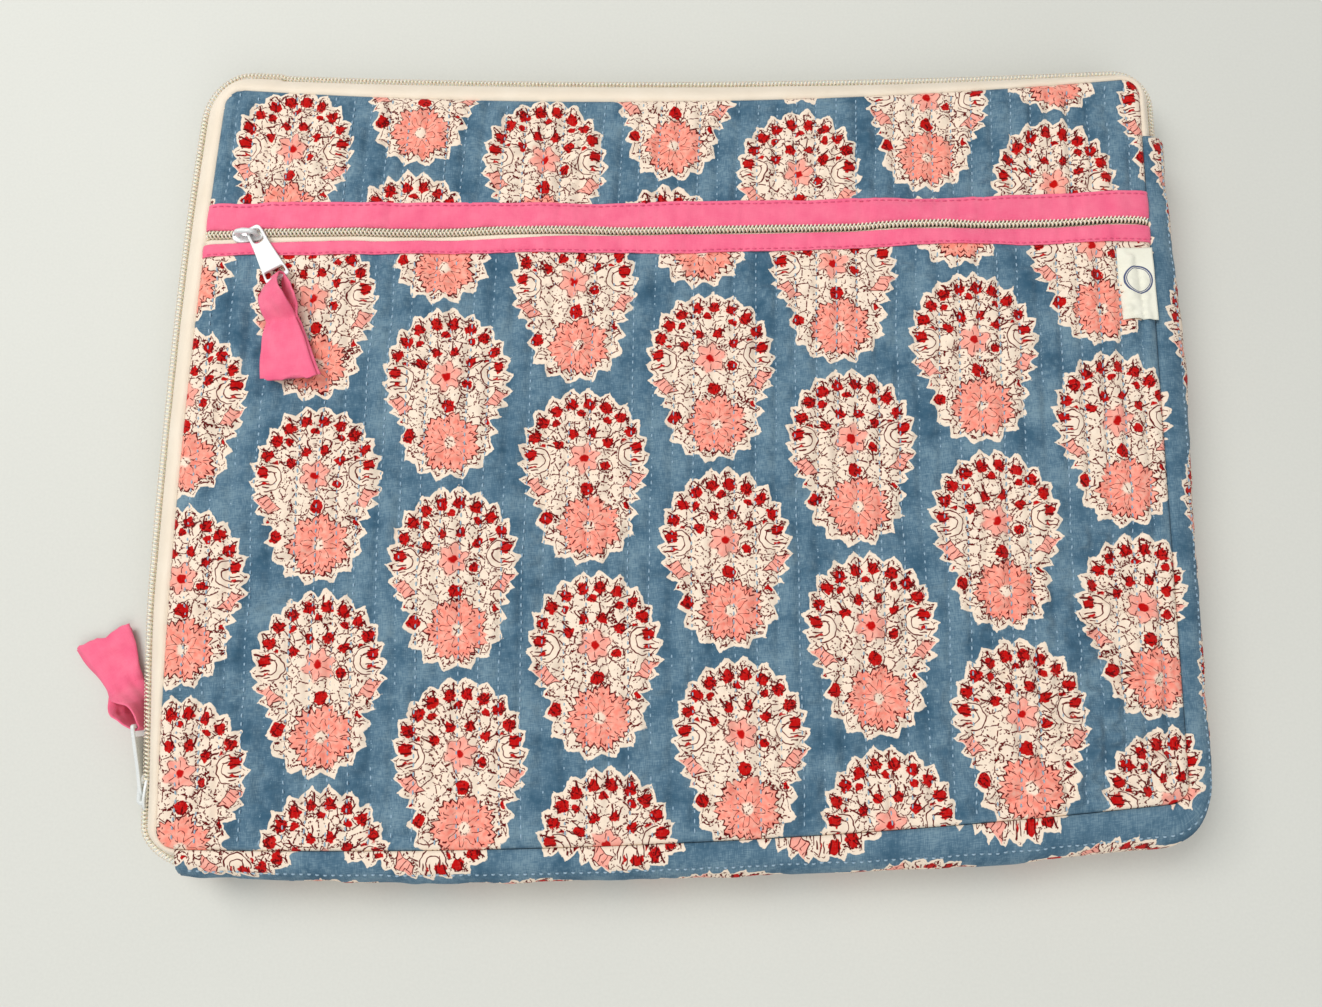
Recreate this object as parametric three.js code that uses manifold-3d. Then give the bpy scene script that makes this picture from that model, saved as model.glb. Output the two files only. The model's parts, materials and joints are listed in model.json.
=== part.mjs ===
// A quilted laptop sleeve with a coil zip round three sides and a zipped pocket across its front.
// Units are millimetres. The sleeve lies on its back: +X runs along its long side, +Y towards the
// edge that opens, +Z up. The origin is the middle of the back panel's underside.
import * as THREE from "three";
import { mergeVertices } from "three/addons/utils/BufferGeometryUtils.js";
import Module from "manifold-3d";

const wasm = await Module();
wasm.setup();

// ---------------------------------------------------------------- driving dimensions
const PANEL = { width: 362, height: 284, corner: 12 };   // seam to seam
const HALF_W = PANEL.width / 2;
const HALF_H = PANEL.height / 2;
const GAP = 0.1;              // between flat layers that lie on each other
const SEAM_GAP = 0.3;         // between pieces that are sewn edge to edge
const ARC_STEPS = 6;          // facets round each corner

const QUILT = 2.0;            // print, batting and backing, stitched together
const PADDING = 2.2;
const LINING = 0.5;
const COMPARTMENT = 12.3;     // clear height for the laptop
const POCKET_GAP = 4.4;       // clear height in the front pocket

// Heights of the layers, from the table up.
const BACK_PADDING_Z = QUILT + GAP;
const BACK_LINING_Z = BACK_PADDING_Z + PADDING + GAP;
const COMPARTMENT_Z = BACK_LINING_Z + LINING;
const FRONT_LINING_Z = COMPARTMENT_Z + COMPARTMENT;
const FRONT_PADDING_Z = FRONT_LINING_Z + LINING + GAP;
const POCKET_LINING_Z = FRONT_PADDING_Z + PADDING + GAP;
const POCKET_Z = POCKET_LINING_Z + LINING;
const FRONT_Z = POCKET_Z + POCKET_GAP;
const TOP_Z = FRONT_Z + QUILT;
const MID_Z = TOP_Z / 2;
// Above the pocket the padding and lining lie directly under the outer panel.
const FLAP_PADDING_Z = FRONT_Z - GAP - PADDING;
const FLAP_LINING_Z = FLAP_PADDING_Z - GAP - LINING;

// The front pocket's zip, measured up the sleeve.
const POCKET_ZIP_Y = 83;
const BINDING = { slot: 2.4, wall: 5.0, edge: 11.3, skin: 0.4, lip: 0.44, fold: 0.6 };
const PANEL_EDGE_Y = 5.8;     // from the zip's middle to a quilted panel's bound edge

// The front above this line folds back when the main zip is open. It meets the zip's right end.
const FOLD = { left: 100, right: 118, half: HALF_W + 14, gap: 0.4 };
const ZIP_END_Y = 118;

// How far the zip and the gusset stand out from the panels' seams.
const ZIP_FLARE = 15;
const SIDE_FLARE = 15;
const BOTTOM_FLARE = 11;
const SEAM_DROP = 2.6;        // from a panel's face down to where its side wall is sewn on
const GUSSET = 1.8;
const GUSSET_LINING = 0.5;

// A zip's chain and slider. Both zips are one size.
const CHAIN = { coil: 2.6, split: 0.6, tape: 0.8, tapeGap: 0.2, upright: 5.0 };
const SLIDER = {
  length: 12, wide: 9.4, narrow: 7.4, plate: 1.0, clear: 0.3, post: 0.7, postLength: 3,
  flange: 1.0, crownLength: 9, crownWidth: 3, crownBar: 1.1, crownLeg: 2, eye: 2.0,
};
const TAB = { thick: 1.3, bar: 1.2, eyeLength: 6, eyeWidth: 4.2, endBar: 1.6, slot: 3 };

const MAIN = {
  y: -124, tabLength: 25, tabWidth: 9.5, tabAngle: 99, tailAngle: 119.5, riser: 0,
};
const POCKET = {
  x: -164, z: 24.35, tabLength: 25, tabWidth: 9.5, tabAngle: -62, tailAngle: -74, riser: 1.8,
};
const TAIL = { length: 40, loopWidth: 4, endWidth: 21, thick: 2.4 };
const LABEL = { width: 14, height: 29, top: 71.4, thick: 0.35 };

// ---------------------------------------------------------------- helpers
const sleeve = new THREE.Group();

const FINISHES = {
  print: { color: 0x4a6d94, roughness: 0.9 },
  pink: { color: 0xe8578f, roughness: 0.85 },
  lining: { color: 0xe9e2d0, roughness: 0.9 },
  foam: { color: 0xdcdcd8, roughness: 1.0 },
  tape: { color: 0xf0ddc4, roughness: 0.8 },
  coil: { color: 0xe9d9bd, roughness: 0.45 },
  metal: { color: 0xe6e9e4, roughness: 0.35, metalness: 0.2 },
  spring: { color: 0xb9bcbf, roughness: 0.3, metalness: 0.9 },
  label: { color: 0xf1ecd8, roughness: 0.85 },
};

function add(name, geometry, finish, parent = sleeve) {
  const mesh = new THREE.Mesh(geometry, new THREE.MeshStandardMaterial(FINISHES[finish]));
  mesh.name = name;
  parent.add(mesh);
  return mesh;
}

// A flat layer of cloth or foam: a shape in plan, from height z upwards.
function layer(shape, z, thickness) {
  const geometry = new THREE.ExtrudeGeometry(shape, {
    depth: thickness, bevelEnabled: false, curveSegments: ARC_STEPS,
  });
  return geometry.translate(0, 0, z);
}

// A panel's outline. Either end can be cut off by a line given by its heights at x = -half and +half.
function panelShape({ low = null, high = null } = {}) {
  const r = PANEL.corner;
  const shape = new THREE.Shape();
  if (low) {
    shape.moveTo(-HALF_W, low.left);
    shape.lineTo(HALF_W, low.right);
  } else {
    shape.moveTo(-HALF_W, -HALF_H + r);
    shape.absarc(-HALF_W + r, -HALF_H + r, r, Math.PI, 1.5 * Math.PI, false);
    shape.absarc(HALF_W - r, -HALF_H + r, r, -0.5 * Math.PI, 0, false);
  }
  if (high) {
    shape.lineTo(HALF_W, high.right);
    shape.lineTo(-HALF_W, high.left);
  } else {
    shape.absarc(HALF_W - r, HALF_H - r, r, 0, 0.5 * Math.PI, false);
    shape.absarc(-HALF_W + r, HALF_H - r, r, 0.5 * Math.PI, Math.PI, false);
  }
  return shape;
}

const level = (y) => ({ left: y, right: y });

// The fold line's height at the two seams, shifted by an offset.
function foldLine(offset) {
  const slope = (FOLD.right - FOLD.left) / (2 * FOLD.half);
  const middle = (FOLD.left + FOLD.right) / 2 + offset;
  return { left: middle - slope * HALF_W, right: middle + slope * HALF_W };
}

// Stations on the seam line: a place and the outward direction there.
function cornerStations(signX, signY, fromDegrees, toDegrees) {
  const r = PANEL.corner;
  const centreX = signX * (HALF_W - r);
  const centreY = signY * (HALF_H - r);
  const stations = [];
  for (let i = 0; i <= ARC_STEPS; i++) {
    const angle = THREE.MathUtils.degToRad(fromDegrees + ((toDegrees - fromDegrees) * i) / ARC_STEPS);
    const nx = Math.cos(angle);
    const ny = Math.sin(angle);
    stations.push({ x: centreX + r * nx, y: centreY + r * ny, nx, ny });
  }
  return stations;
}

const sideStation = (sign, y) => ({ x: sign * HALF_W, y, nx: sign, ny: 0 });

// A loop of points in counter-clockwise order.
function counterClockwise(loop) {
  const outline = loop.map(([u, z]) => new THREE.Vector2(u, z));
  return THREE.ShapeUtils.isClockWise(outline) ? [...loop].reverse() : loop;
}

// A band swept along stations. section(station) is a loop of [outwards, height] points.
function sweep(stations, section) {
  const rings = stations.map((s) =>
    counterClockwise(section(s)).map(([u, z]) => [s.x + u * s.nx, s.y + u * s.ny, z]));
  const n = rings[0].length;
  const triangles = [];
  for (let i = 0; i + 1 < rings.length; i++) {
    for (let j = 0; j < n; j++) {
      const a = i * n + j;
      const b = i * n + ((j + 1) % n);
      triangles.push([a, b, b + n], [a, b + n, a + n]);
    }
  }
  const end = (rings.length - 1) * n;
  const outline = counterClockwise(section(stations[0])).map(([u, z]) => new THREE.Vector2(u, z));
  for (const [a, b, c] of THREE.ShapeUtils.triangulateShape(outline, [])) {
    triangles.push([a, c, b], [end + a, end + b, end + c]);
  }
  return facingOut(rings.flat(), triangles);
}

// A geometry from points and triangles, turned so that its faces point out.
function facingOut(points, triangles) {
  const [a, b, c] = [new THREE.Vector3(), new THREE.Vector3(), new THREE.Vector3()];
  let volume = 0;
  for (const [i, j, k] of triangles) {
    volume += a.set(...points[i]).dot(b.set(...points[j]).cross(c.set(...points[k])));
  }
  const ordered = volume < 0 ? triangles.map(([i, j, k]) => [i, k, j]) : triangles;
  const geometry = new THREE.BufferGeometry();
  geometry.setAttribute("position", new THREE.Float32BufferAttribute(points.flat(), 3));
  geometry.setIndex(ordered.flat());
  return geometry;
}

function solid(geometry) {
  const bare = new THREE.BufferGeometry();
  bare.setAttribute("position", geometry.getAttribute("position"));
  bare.setIndex(geometry.getIndex());
  const merged = mergeVertices(bare, 1e-4);
  return new wasm.Manifold(new wasm.Mesh({
    numProp: 3,
    vertProperties: merged.attributes.position.array,
    triVerts: new Uint32Array(merged.index.array),
  }));
}

function geometryOf(manifold) {
  const mesh = manifold.getMesh();
  const geometry = new THREE.BufferGeometry();
  geometry.setAttribute("position", new THREE.BufferAttribute(mesh.vertProperties, 3));
  geometry.setIndex(new THREE.BufferAttribute(mesh.triVerts, 1));
  return geometry;
}

// A block between two corners.
function block([x0, y0, z0], [x1, y1, z1]) {
  return new THREE.BoxGeometry(x1 - x0, y1 - y0, z1 - z0)
    .translate((x0 + x1) / 2, (y0 + y1) / 2, (z0 + z1) / 2);
}

// ---------------------------------------------------------------- back
function addBack() {
  add("back_panel", layer(panelShape(), 0, QUILT), "print");
  add("back_padding", layer(panelShape(), BACK_PADDING_Z, PADDING), "foam");
  add("back_lining", layer(panelShape(), BACK_LINING_Z, LINING), "lining");
}

// ---------------------------------------------------------------- front and its pocket
function addFront() {
  const underFold = foldLine(-FOLD.gap);
  const overFold = foldLine(FOLD.gap);
  const lowerEdge = level(POCKET_ZIP_Y - PANEL_EDGE_Y);
  const upperEdge = level(POCKET_ZIP_Y + PANEL_EDGE_Y);
  const pocketTop = level(POCKET_ZIP_Y + BINDING.edge);

  add("pocket_front_panel", layer(panelShape({ high: lowerEdge }), FRONT_Z, QUILT), "print");
  add("front_upper_panel_base",
    layer(panelShape({ low: upperEdge, high: underFold }), FRONT_Z, QUILT), "print");
  add("front_upper_panel", layer(panelShape({ low: overFold }), FRONT_Z, QUILT), "print");

  add("pocket_lining", layer(panelShape({ high: pocketTop }), POCKET_LINING_Z, LINING), "lining");
  add("front_padding", layer(panelShape({ high: underFold }), FRONT_PADDING_Z, PADDING), "foam");
  add("front_lining", layer(panelShape({ high: underFold }), FRONT_LINING_Z, LINING), "lining");
  add("flap_padding", layer(panelShape({ low: overFold }), FLAP_PADDING_Z, PADDING), "foam");
  add("flap_lining", layer(panelShape({ low: overFold }), FLAP_LINING_Z, LINING), "lining");
}

// A bar along X from seam to seam, from its section in the Y-Z plane. side is +1 above the zip.
function pocketBar(section, side) {
  const outline = new THREE.Shape(
    section.map(([v, z]) => new THREE.Vector2(POCKET_ZIP_Y + side * v, z)));
  const geometry = new THREE.ExtrudeGeometry(outline, { depth: PANEL.width, bevelEnabled: false });
  // The extrusion runs along +Z with the section in X-Y: this turns X-Y-Z into Y-Z-X.
  const turn = new THREE.Matrix4().makeBasis(
    new THREE.Vector3(0, 1, 0), new THREE.Vector3(0, 0, 1), new THREE.Vector3(1, 0, 0));
  return geometry.applyMatrix4(turn).translate(-HALF_W, 0, 0);
}

function addPocketZip() {
  const coilLow = POCKET.z - CHAIN.coil / 2;
  const coilHigh = POCKET.z + CHAIN.coil / 2;
  const tapeHigh = coilLow - CHAIN.tapeGap;
  const tapeLow = tapeHigh - CHAIN.tape;
  const split = CHAIN.split;
  const { slot, wall, edge, skin, fold } = BINDING;
  const top = TOP_Z + GAP + skin;
  const lip = top - BINDING.lip;
  const under = FRONT_Z - 2 * GAP;
  const bottom = tapeHigh + SEAM_GAP;
  const bindingSection = [
    [slot, lip], [wall, lip], [wall, bottom], [edge, bottom], [edge, under],
    [wall + fold, under], [wall + fold, TOP_Z + GAP], [edge, TOP_Z + GAP], [edge, top], [slot, top],
  ];
  const coilSection = [
    [split, coilLow], [split + CHAIN.coil, coilLow],
    [split + CHAIN.coil, coilHigh], [split, coilHigh],
  ];
  const tapeSection = [[split, tapeLow], [edge, tapeLow], [edge, tapeHigh], [split, tapeHigh]];
  for (const [place, side] of [["upper", 1], ["lower", -1]]) {
    add(`pocket_binding_${place}`, pocketBar(bindingSection, side), "pink");
    add(`pocket_tape_${place}`, pocketBar(tapeSection, side), "tape");
    add(`pocket_coil_${place}`, pocketBar(coilSection, side), "coil");
  }
}

// ---------------------------------------------------------------- side walls
// The gusset's curve out from the front seam and back to the back seam, moved outwards by an offset.
function bulge(flare, offset) {
  const points = [];
  const steps = 8;
  for (let i = 0; i <= steps; i++) {
    const angle = (Math.PI * i) / steps;
    points.push([
      SEAM_GAP + (flare + offset) * Math.sin(angle),
      MID_Z + (MID_Z - SEAM_DROP - GUSSET + offset) * Math.cos(angle),
    ]);
  }
  return points;
}

const band = (flare, inner, outer) => [...bulge(flare, outer), ...bulge(flare, inner).reverse()];

function addGusset() {
  const corner = cornerStations(1, -1, 0, -90);
  const bottomEnd = { x: -HALF_W + PANEL.corner, y: -HALF_H, nx: 0, ny: -1 };
  const stations = [
    sideStation(1, ZIP_END_Y - SEAM_GAP), sideStation(1, -HALF_H + PANEL.corner + 1), ...corner, bottomEnd,
  ];
  // The flare eases from the side's to the bottom's round the corner.
  const flareAt = (s) => THREE.MathUtils.lerp(SIDE_FLARE, BOTTOM_FLARE, Math.abs(s.ny));
  add("gusset", sweep(stations, (s) => band(flareAt(s) - GUSSET, 0, GUSSET)), "print");
  add("gusset_lining",
    sweep(stations, (s) => band(flareAt(s) - GUSSET, -SEAM_GAP - GUSSET_LINING, -SEAM_GAP)), "lining");
}

// The main zip's front half in section; the back half is its mirror image about the middle height.
function tapeSection() {
  const inner = ZIP_FLARE - CHAIN.coil / 2 - CHAIN.tapeGap - CHAIN.tape;
  const outer = inner + CHAIN.tape;
  const seam = MID_Z - SEAM_DROP;
  return [
    [inner, CHAIN.split], [outer, CHAIN.split], [outer, CHAIN.upright],
    [SEAM_GAP, seam], [SEAM_GAP, seam - CHAIN.tape * 1.4], [inner, CHAIN.upright - CHAIN.tape * 0.4],
  ];
}

function coilSection() {
  const inner = ZIP_FLARE - CHAIN.coil / 2;
  const outer = ZIP_FLARE + CHAIN.coil / 2;
  const far = CHAIN.split + CHAIN.coil;
  return [[inner, CHAIN.split], [outer, CHAIN.split], [outer, far], [inner, far]];
}

const placed = (section, side) => () => section.map(([u, h]) => [u, MID_Z + side * h]);

function addMainZip() {
  const start = cornerStations(-1, -1, 270, 180);
  const topLeft = cornerStations(-1, 1, 180, 90);
  const topRight = cornerStations(1, 1, 90, 0);
  const end = sideStation(1, ZIP_END_Y + SEAM_GAP);
  const cut = 2 * FOLD.gap;
  const flapEnd = sideStation(1, FOLD.right + cut);
  const side = [...start, sideStation(-1, FOLD.left - cut)];
  const flap = [sideStation(-1, FOLD.left + cut), ...topLeft, ...topRight, flapEnd];
  const whole = [...start, ...topLeft, ...topRight, end];
  add("main_tape_front_side", sweep(side, placed(tapeSection(), 1)), "tape");
  add("main_coil_front_side", sweep(side, placed(coilSection(), 1)), "coil");
  add("main_tape_front_flap", sweep(flap, placed(tapeSection(), 1)), "tape");
  add("main_coil_front_flap", sweep(flap, placed(coilSection(), 1)), "coil");
  add("main_tape_back", sweep(whole, placed(tapeSection(), -1)), "tape");
  add("main_coil_back", sweep(whole, placed(coilSection(), -1)), "coil");
}

// ---------------------------------------------------------------- sliders, tabs and tails
// A slider in its own frame: it opens the zip along +X, its outer face is +Z, and the chain's
// middle is the origin. The tapes lie under the coils and leave on both sides, along Y.
function sliderBody() {
  const s = SLIDER;
  const half = s.length / 2;
  const outline = new THREE.Shape();
  outline.moveTo(-half, -s.wide * 0.3);
  outline.lineTo(-half * 0.6, -s.wide / 2);
  outline.lineTo(half * 0.5, -s.narrow / 2);
  outline.lineTo(half, -s.narrow * 0.38);
  outline.lineTo(half, s.narrow * 0.38);
  outline.lineTo(half * 0.5, s.narrow / 2);
  outline.lineTo(-half * 0.6, s.wide / 2);
  outline.lineTo(-half, s.wide * 0.3);
  const plateAt = (z) => layer(outline, z, s.plate);
  const outerZ = CHAIN.coil / 2 + s.clear;
  const innerZ = -CHAIN.coil / 2 - CHAIN.tapeGap - CHAIN.tape - s.clear;
  const post = block([-half + 0.4, -s.post / 2, innerZ - s.plate / 2],
    [-half + 0.4 + s.postLength, s.post / 2, outerZ + s.plate / 2]);
  let body = solid(plateAt(outerZ)).add(solid(plateAt(innerZ - s.plate))).add(solid(post));
  const flangeLow = -CHAIN.coil / 2 + 0.2;
  for (const side of [-1, 1]) {
    const y = side * (CHAIN.split + CHAIN.coil + s.clear + s.flange / 2);
    const lip = block([-half * 0.55, y - s.flange / 2, flangeLow],
      [half * 0.4, y + s.flange / 2, outerZ + s.plate / 2]);
    body = body.add(solid(lip));
  }
  return geometryOf(body);
}

const crownFoot = () => CHAIN.coil / 2 + SLIDER.clear + SLIDER.plate + GAP;
const pivotHeight = (riser) => crownFoot() + SLIDER.eye / 2 + 0.1 + riser;

// The arch on the slider that holds the tab.
function sliderCrown(riser) {
  const s = SLIDER;
  const foot = crownFoot();
  const bar = pivotHeight(riser) + s.eye / 2;
  const half = s.crownLength / 2;
  const side = new THREE.Shape();
  side.moveTo(-half, foot);
  side.lineTo(-half + s.crownLeg, foot);
  side.lineTo(-half + s.crownLeg, bar);
  side.lineTo(half - s.crownLeg, bar);
  side.lineTo(half - s.crownLeg, foot);
  side.lineTo(half, foot);
  side.lineTo(half, bar + s.crownBar * 0.4);
  side.lineTo(half - s.crownBar, bar + s.crownBar);
  side.lineTo(-half + s.crownBar, bar + s.crownBar);
  side.lineTo(-half, bar + s.crownBar * 0.4);
  const geometry = new THREE.ExtrudeGeometry(side, { depth: s.crownWidth, bevelEnabled: false });
  return geometry.rotateX(Math.PI / 2).translate(0, s.crownWidth / 2, 0);
}

// The leaf spring that locks the slider, lying on the body between the crown's legs.
function lockSpring() {
  const foot = crownFoot();
  const half = SLIDER.crownLength / 2 - SLIDER.crownLeg - 0.3;
  return block([-half, -0.7, foot], [half, 0.7, foot + 0.1]);
}

// A pull tab lying along +X from its pivot at the origin, with an eye for the crown and a slot
// for the tail.
function pullTab(length, width) {
  const t = TAB;
  const neck = t.eyeWidth / 2 + 1.1;
  const back = -t.bar / 2;
  const outline = new THREE.Shape();
  outline.moveTo(back, -neck * 0.7);
  outline.lineTo(back + neck * 0.3, -neck);
  outline.lineTo(length - 1, -width / 2);
  outline.absarc(length - 1, -width / 2 + 1, 1, -Math.PI / 2, 0, false);
  outline.absarc(length - 1, width / 2 - 1, 1, 0, Math.PI / 2, false);
  outline.lineTo(back + neck * 0.3, neck);
  outline.lineTo(back, neck * 0.7);
  const hole = (x0, x1, half) => {
    const path = new THREE.Path();
    path.moveTo(x0, -half);
    path.lineTo(x0, half);
    path.lineTo(x1, half);
    path.lineTo(x1, -half);
    path.closePath();
    return path;
  };
  outline.holes.push(hole(t.bar / 2, t.bar / 2 + t.eyeLength, t.eyeWidth / 2));
  outline.holes.push(hole(length - t.endBar - t.slot, length - t.endBar, width / 2 - 1.1));
  return layer(outline, -t.thick / 2, t.thick);
}

// The folded cotton strip on a tab. It loops through the tab's slot round the end bar at the
// origin and runs along +X, from a narrow loop to a wide end, dropping by a height as it goes.
// turned is 1 where the strip stands on edge at the loop and lies flat at its end.
function pullTail(drop, turned) {
  const t = TAIL;
  const clear = TAB.endBar / 2 + 0.75;
  const loop = clear + 0.6;
  const flatHalf = t.endWidth / 2;
  const ring = (x, across, up, z) => [
    [x, -across, z - up], [x, across, z - up], [x, across, z + up], [x, -across, z + up],
  ];
  const loopRing = (x, part) => (turned
    ? ring(x, loop * part, t.loopWidth / 2, 0)
    : ring(x, t.loopWidth / 2, loop * part, 0));
  const rings = [
    loopRing(-loop, 0.6), loopRing(-loop * 0.6, 1), loopRing(loop * 2, 1),
    ring(t.length * 0.5, flatHalf * 0.75, t.thick / 2, -drop * 0.75),
    ring(t.length, flatHalf, t.thick / 2, -drop),
  ];
  const end = 4 * (rings.length - 1);
  const triangles = [[0, 2, 1], [0, 3, 2], [end, end + 1, end + 2], [end, end + 2, end + 3]];
  for (let i = 0; i + 1 < rings.length; i++) {
    for (let j = 0; j < 4; j++) {
      const a = i * 4 + j;
      const b = i * 4 + ((j + 1) % 4);
      triangles.push([a, b, b + 4], [a, b + 4, a + 4]);
    }
  }
  const body = solid(facingOut(rings.flat(), triangles));
  // The bar's way through the loop.
  const reach = t.endWidth;
  const hole = turned
    ? block([-clear, -clear, -reach], [clear, clear, reach])
    : block([-clear, -reach, -clear], [clear, reach, clear]);
  return geometryOf(body.subtract(solid(hole)));
}

function addSlider(name, spec, placement) {
  const carrier = new THREE.Group();
  carrier.applyMatrix4(placement);
  sleeve.add(carrier);
  add(`${name}_slider_body`, sliderBody(), "metal", carrier);
  add(`${name}_slider_crown`, sliderCrown(spec.riser), "metal", carrier);
  add(`${name}_lock_spring`, lockSpring(), "spring", carrier);
}

// A tab and its tail, turned about the upright axis through a pivot. setBack is how far behind the
// pivot the tab's own end bar lies.
function addPull(name, spec, { pivot, setBack, standing, tailDrop }) {
  const tabFrame = new THREE.Group();
  tabFrame.position.copy(pivot);
  tabFrame.rotation.z = THREE.MathUtils.degToRad(spec.tabAngle);
  sleeve.add(tabFrame);
  const tab = add(`${name}_pull_tab`, pullTab(spec.tabLength, spec.tabWidth), "metal", tabFrame);
  tab.position.x = -setBack;
  tab.rotation.x = standing ? Math.PI / 2 : 0;
  const tailFrame = new THREE.Group();
  tailFrame.position.set(spec.tabLength - TAB.endBar / 2 - setBack, 0, 0);
  tailFrame.rotation.z = THREE.MathUtils.degToRad(spec.tailAngle - spec.tabAngle);
  tabFrame.add(tailFrame);
  add(`${name}_pull_tail`, pullTail(tailDrop, standing), "pink", tailFrame);
}

function addSliders() {
  // The main slider: it opens along +Y, and its outer face looks along -X.
  const mainFrame = new THREE.Matrix4().makeBasis(
    new THREE.Vector3(0, 1, 0), new THREE.Vector3(0, 0, -1), new THREE.Vector3(-1, 0, 0));
  mainFrame.setPosition(-HALF_W - ZIP_FLARE, MAIN.y, MID_Z);
  addSlider("main", MAIN, mainFrame);
  const mainPivot = new THREE.Vector3(
    -HALF_W - ZIP_FLARE - pivotHeight(MAIN.riser), MAIN.y, MID_Z);
  addPull("main", MAIN, {
    pivot: mainPivot, setBack: 0, standing: true, tailDrop: MID_Z - TAIL.thick / 2 - GAP,
  });

  // The pocket slider: it opens along +X, and its outer face looks up. Its tab lies flat, with the
  // eye round the crown's front leg.
  const pocketFrame = new THREE.Matrix4().makeTranslation(POCKET.x, POCKET_ZIP_Y, POCKET.z);
  addSlider("pocket", POCKET, pocketFrame);
  const leg = (SLIDER.crownLength - SLIDER.crownLeg) / 2;
  const pocketPivot = new THREE.Vector3(
    POCKET.x + leg, POCKET_ZIP_Y, POCKET.z + pivotHeight(POCKET.riser));
  const setBack = (TAB.bar + TAB.eyeLength) / 2;
  addPull("pocket", POCKET, { pivot: pocketPivot, setBack, standing: false, tailDrop: 0.4 });
}

// ---------------------------------------------------------------- label
function addLabel() {
  const low = [HALF_W - LABEL.width, LABEL.top - LABEL.height, TOP_Z + GAP];
  const high = [HALF_W, LABEL.top, TOP_Z + GAP + LABEL.thick];
  add("side_label", block(low, high), "label");
}

addBack();
addFront();
addPocketZip();
addGusset();
addMainZip();
addSliders();
addLabel();

export default sleeve;
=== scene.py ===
import json
import math

import bpy
import numpy as np
from mathutils import Matrix, Vector


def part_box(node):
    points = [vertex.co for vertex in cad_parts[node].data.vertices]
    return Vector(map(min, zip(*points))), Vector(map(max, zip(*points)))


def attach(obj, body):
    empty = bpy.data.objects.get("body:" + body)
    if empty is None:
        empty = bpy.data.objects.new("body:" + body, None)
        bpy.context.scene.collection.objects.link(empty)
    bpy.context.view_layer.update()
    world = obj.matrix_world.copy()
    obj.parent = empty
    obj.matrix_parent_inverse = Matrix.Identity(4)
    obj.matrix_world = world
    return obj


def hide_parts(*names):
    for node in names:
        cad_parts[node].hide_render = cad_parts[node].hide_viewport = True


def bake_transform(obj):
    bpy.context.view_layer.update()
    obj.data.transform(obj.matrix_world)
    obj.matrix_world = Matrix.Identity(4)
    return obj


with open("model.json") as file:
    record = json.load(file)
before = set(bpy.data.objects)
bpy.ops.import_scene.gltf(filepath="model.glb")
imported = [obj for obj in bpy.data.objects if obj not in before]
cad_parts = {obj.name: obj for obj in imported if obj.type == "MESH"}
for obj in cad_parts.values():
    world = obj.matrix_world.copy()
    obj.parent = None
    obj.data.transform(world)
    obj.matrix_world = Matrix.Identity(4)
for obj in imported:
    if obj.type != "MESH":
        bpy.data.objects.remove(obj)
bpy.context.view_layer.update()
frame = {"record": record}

MM = 0.001


def box_mm(node):
    """A CAD node's box, in millimetres."""
    low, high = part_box(node)
    return np.array(low) / MM, np.array(high) / MM


# ------------------------------------------------------------------ sizes read from the frame
BACK_HIGH = box_mm("back_panel")[1]
POCKET_LOW, POCKET_HIGH = box_mm("pocket_front_panel")
HALF_W, HALF_H = BACK_HIGH[0], BACK_HIGH[1]
CORNER = 7.0              # the radius of the panels' corners
FRONT, TOP = POCKET_LOW[2], POCKET_HIGH[2]
MID = TOP / 2
COIL_LOW, COIL_HIGH = box_mm("main_coil_back")
COIL = COIL_HIGH[2] - COIL_LOW[2]
SPLIT = MID - COIL_HIGH[2]
FLARE = -COIL_LOW[0] - HALF_W - COIL / 2
TAPE_REACH = FLARE - 4.0      # how far out the zip's tape hangs at the sides
ZIP_Y = (box_mm("pocket_coil_upper")[0][1] + box_mm("pocket_coil_lower")[1][1]) / 2
POCKET_CHAIN = 0.2        # how far the pocket zip's chain lies above the middle of its opening
POCKET_COIL_Z = (box_mm("pocket_coil_upper")[0][2] + box_mm("pocket_coil_upper")[1][2]) / 2
BINDING_EDGE = box_mm("pocket_binding_upper")[1][1] - ZIP_Y
BINDING_SLOT = box_mm("pocket_binding_upper")[0][1] - ZIP_Y
ZIP_END_Y = box_mm("gusset")[1][1]
GUSSET_FLARE = box_mm("gusset")[1][0] - HALF_W
GUSSET_DROP = -HALF_H - box_mm("gusset")[0][1]
COMPARTMENT_Z = box_mm("back_lining")[1][2]
FRONT_LINING_Z = box_mm("front_lining")[0][2]
FLAP_LINING_Z = box_mm("flap_lining")[0][2]
POCKET_LINING_Z = box_mm("pocket_lining")[1][2]

JOINTS = {j["name"]: j for j in frame["record"]["behaviour"]["joints"]}
FOLD_AT = np.array(JOINTS["flap_fold"]["pos_m"]) / MM

QUILT_PITCH = 7.6
PUFF = 1.75               # how high the quilting stands between its lines
STITCH_PITCH, STITCH_LENGTH, STITCH_LIFT = 3.0, 1.65, 0.32
MOTIF = (49.3, 68.6)      # the block print's columns and rows


# ------------------------------------------------------------------ smooth noise
def noise(x, y, size, seed):
    """Smooth noise from -1 to 1 whose bumps are about size across."""
    table = np.random.RandomState(seed).uniform(-1, 1, (64, 64))
    x, y = np.asarray(x, float) / size + 1000, np.asarray(y, float) / size + 1000
    i, j = np.floor(x).astype(int), np.floor(y).astype(int)
    u, v = x - i, y - j
    u, v = u * u * (3 - 2 * u), v * v * (3 - 2 * v)
    a, b = table[i % 64, j % 64], table[(i + 1) % 64, j % 64]
    c, d = table[i % 64, (j + 1) % 64], table[(i + 1) % 64, (j + 1) % 64]
    return (a * (1 - u) + b * u) * (1 - v) + (c * (1 - u) + d * u) * v


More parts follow.
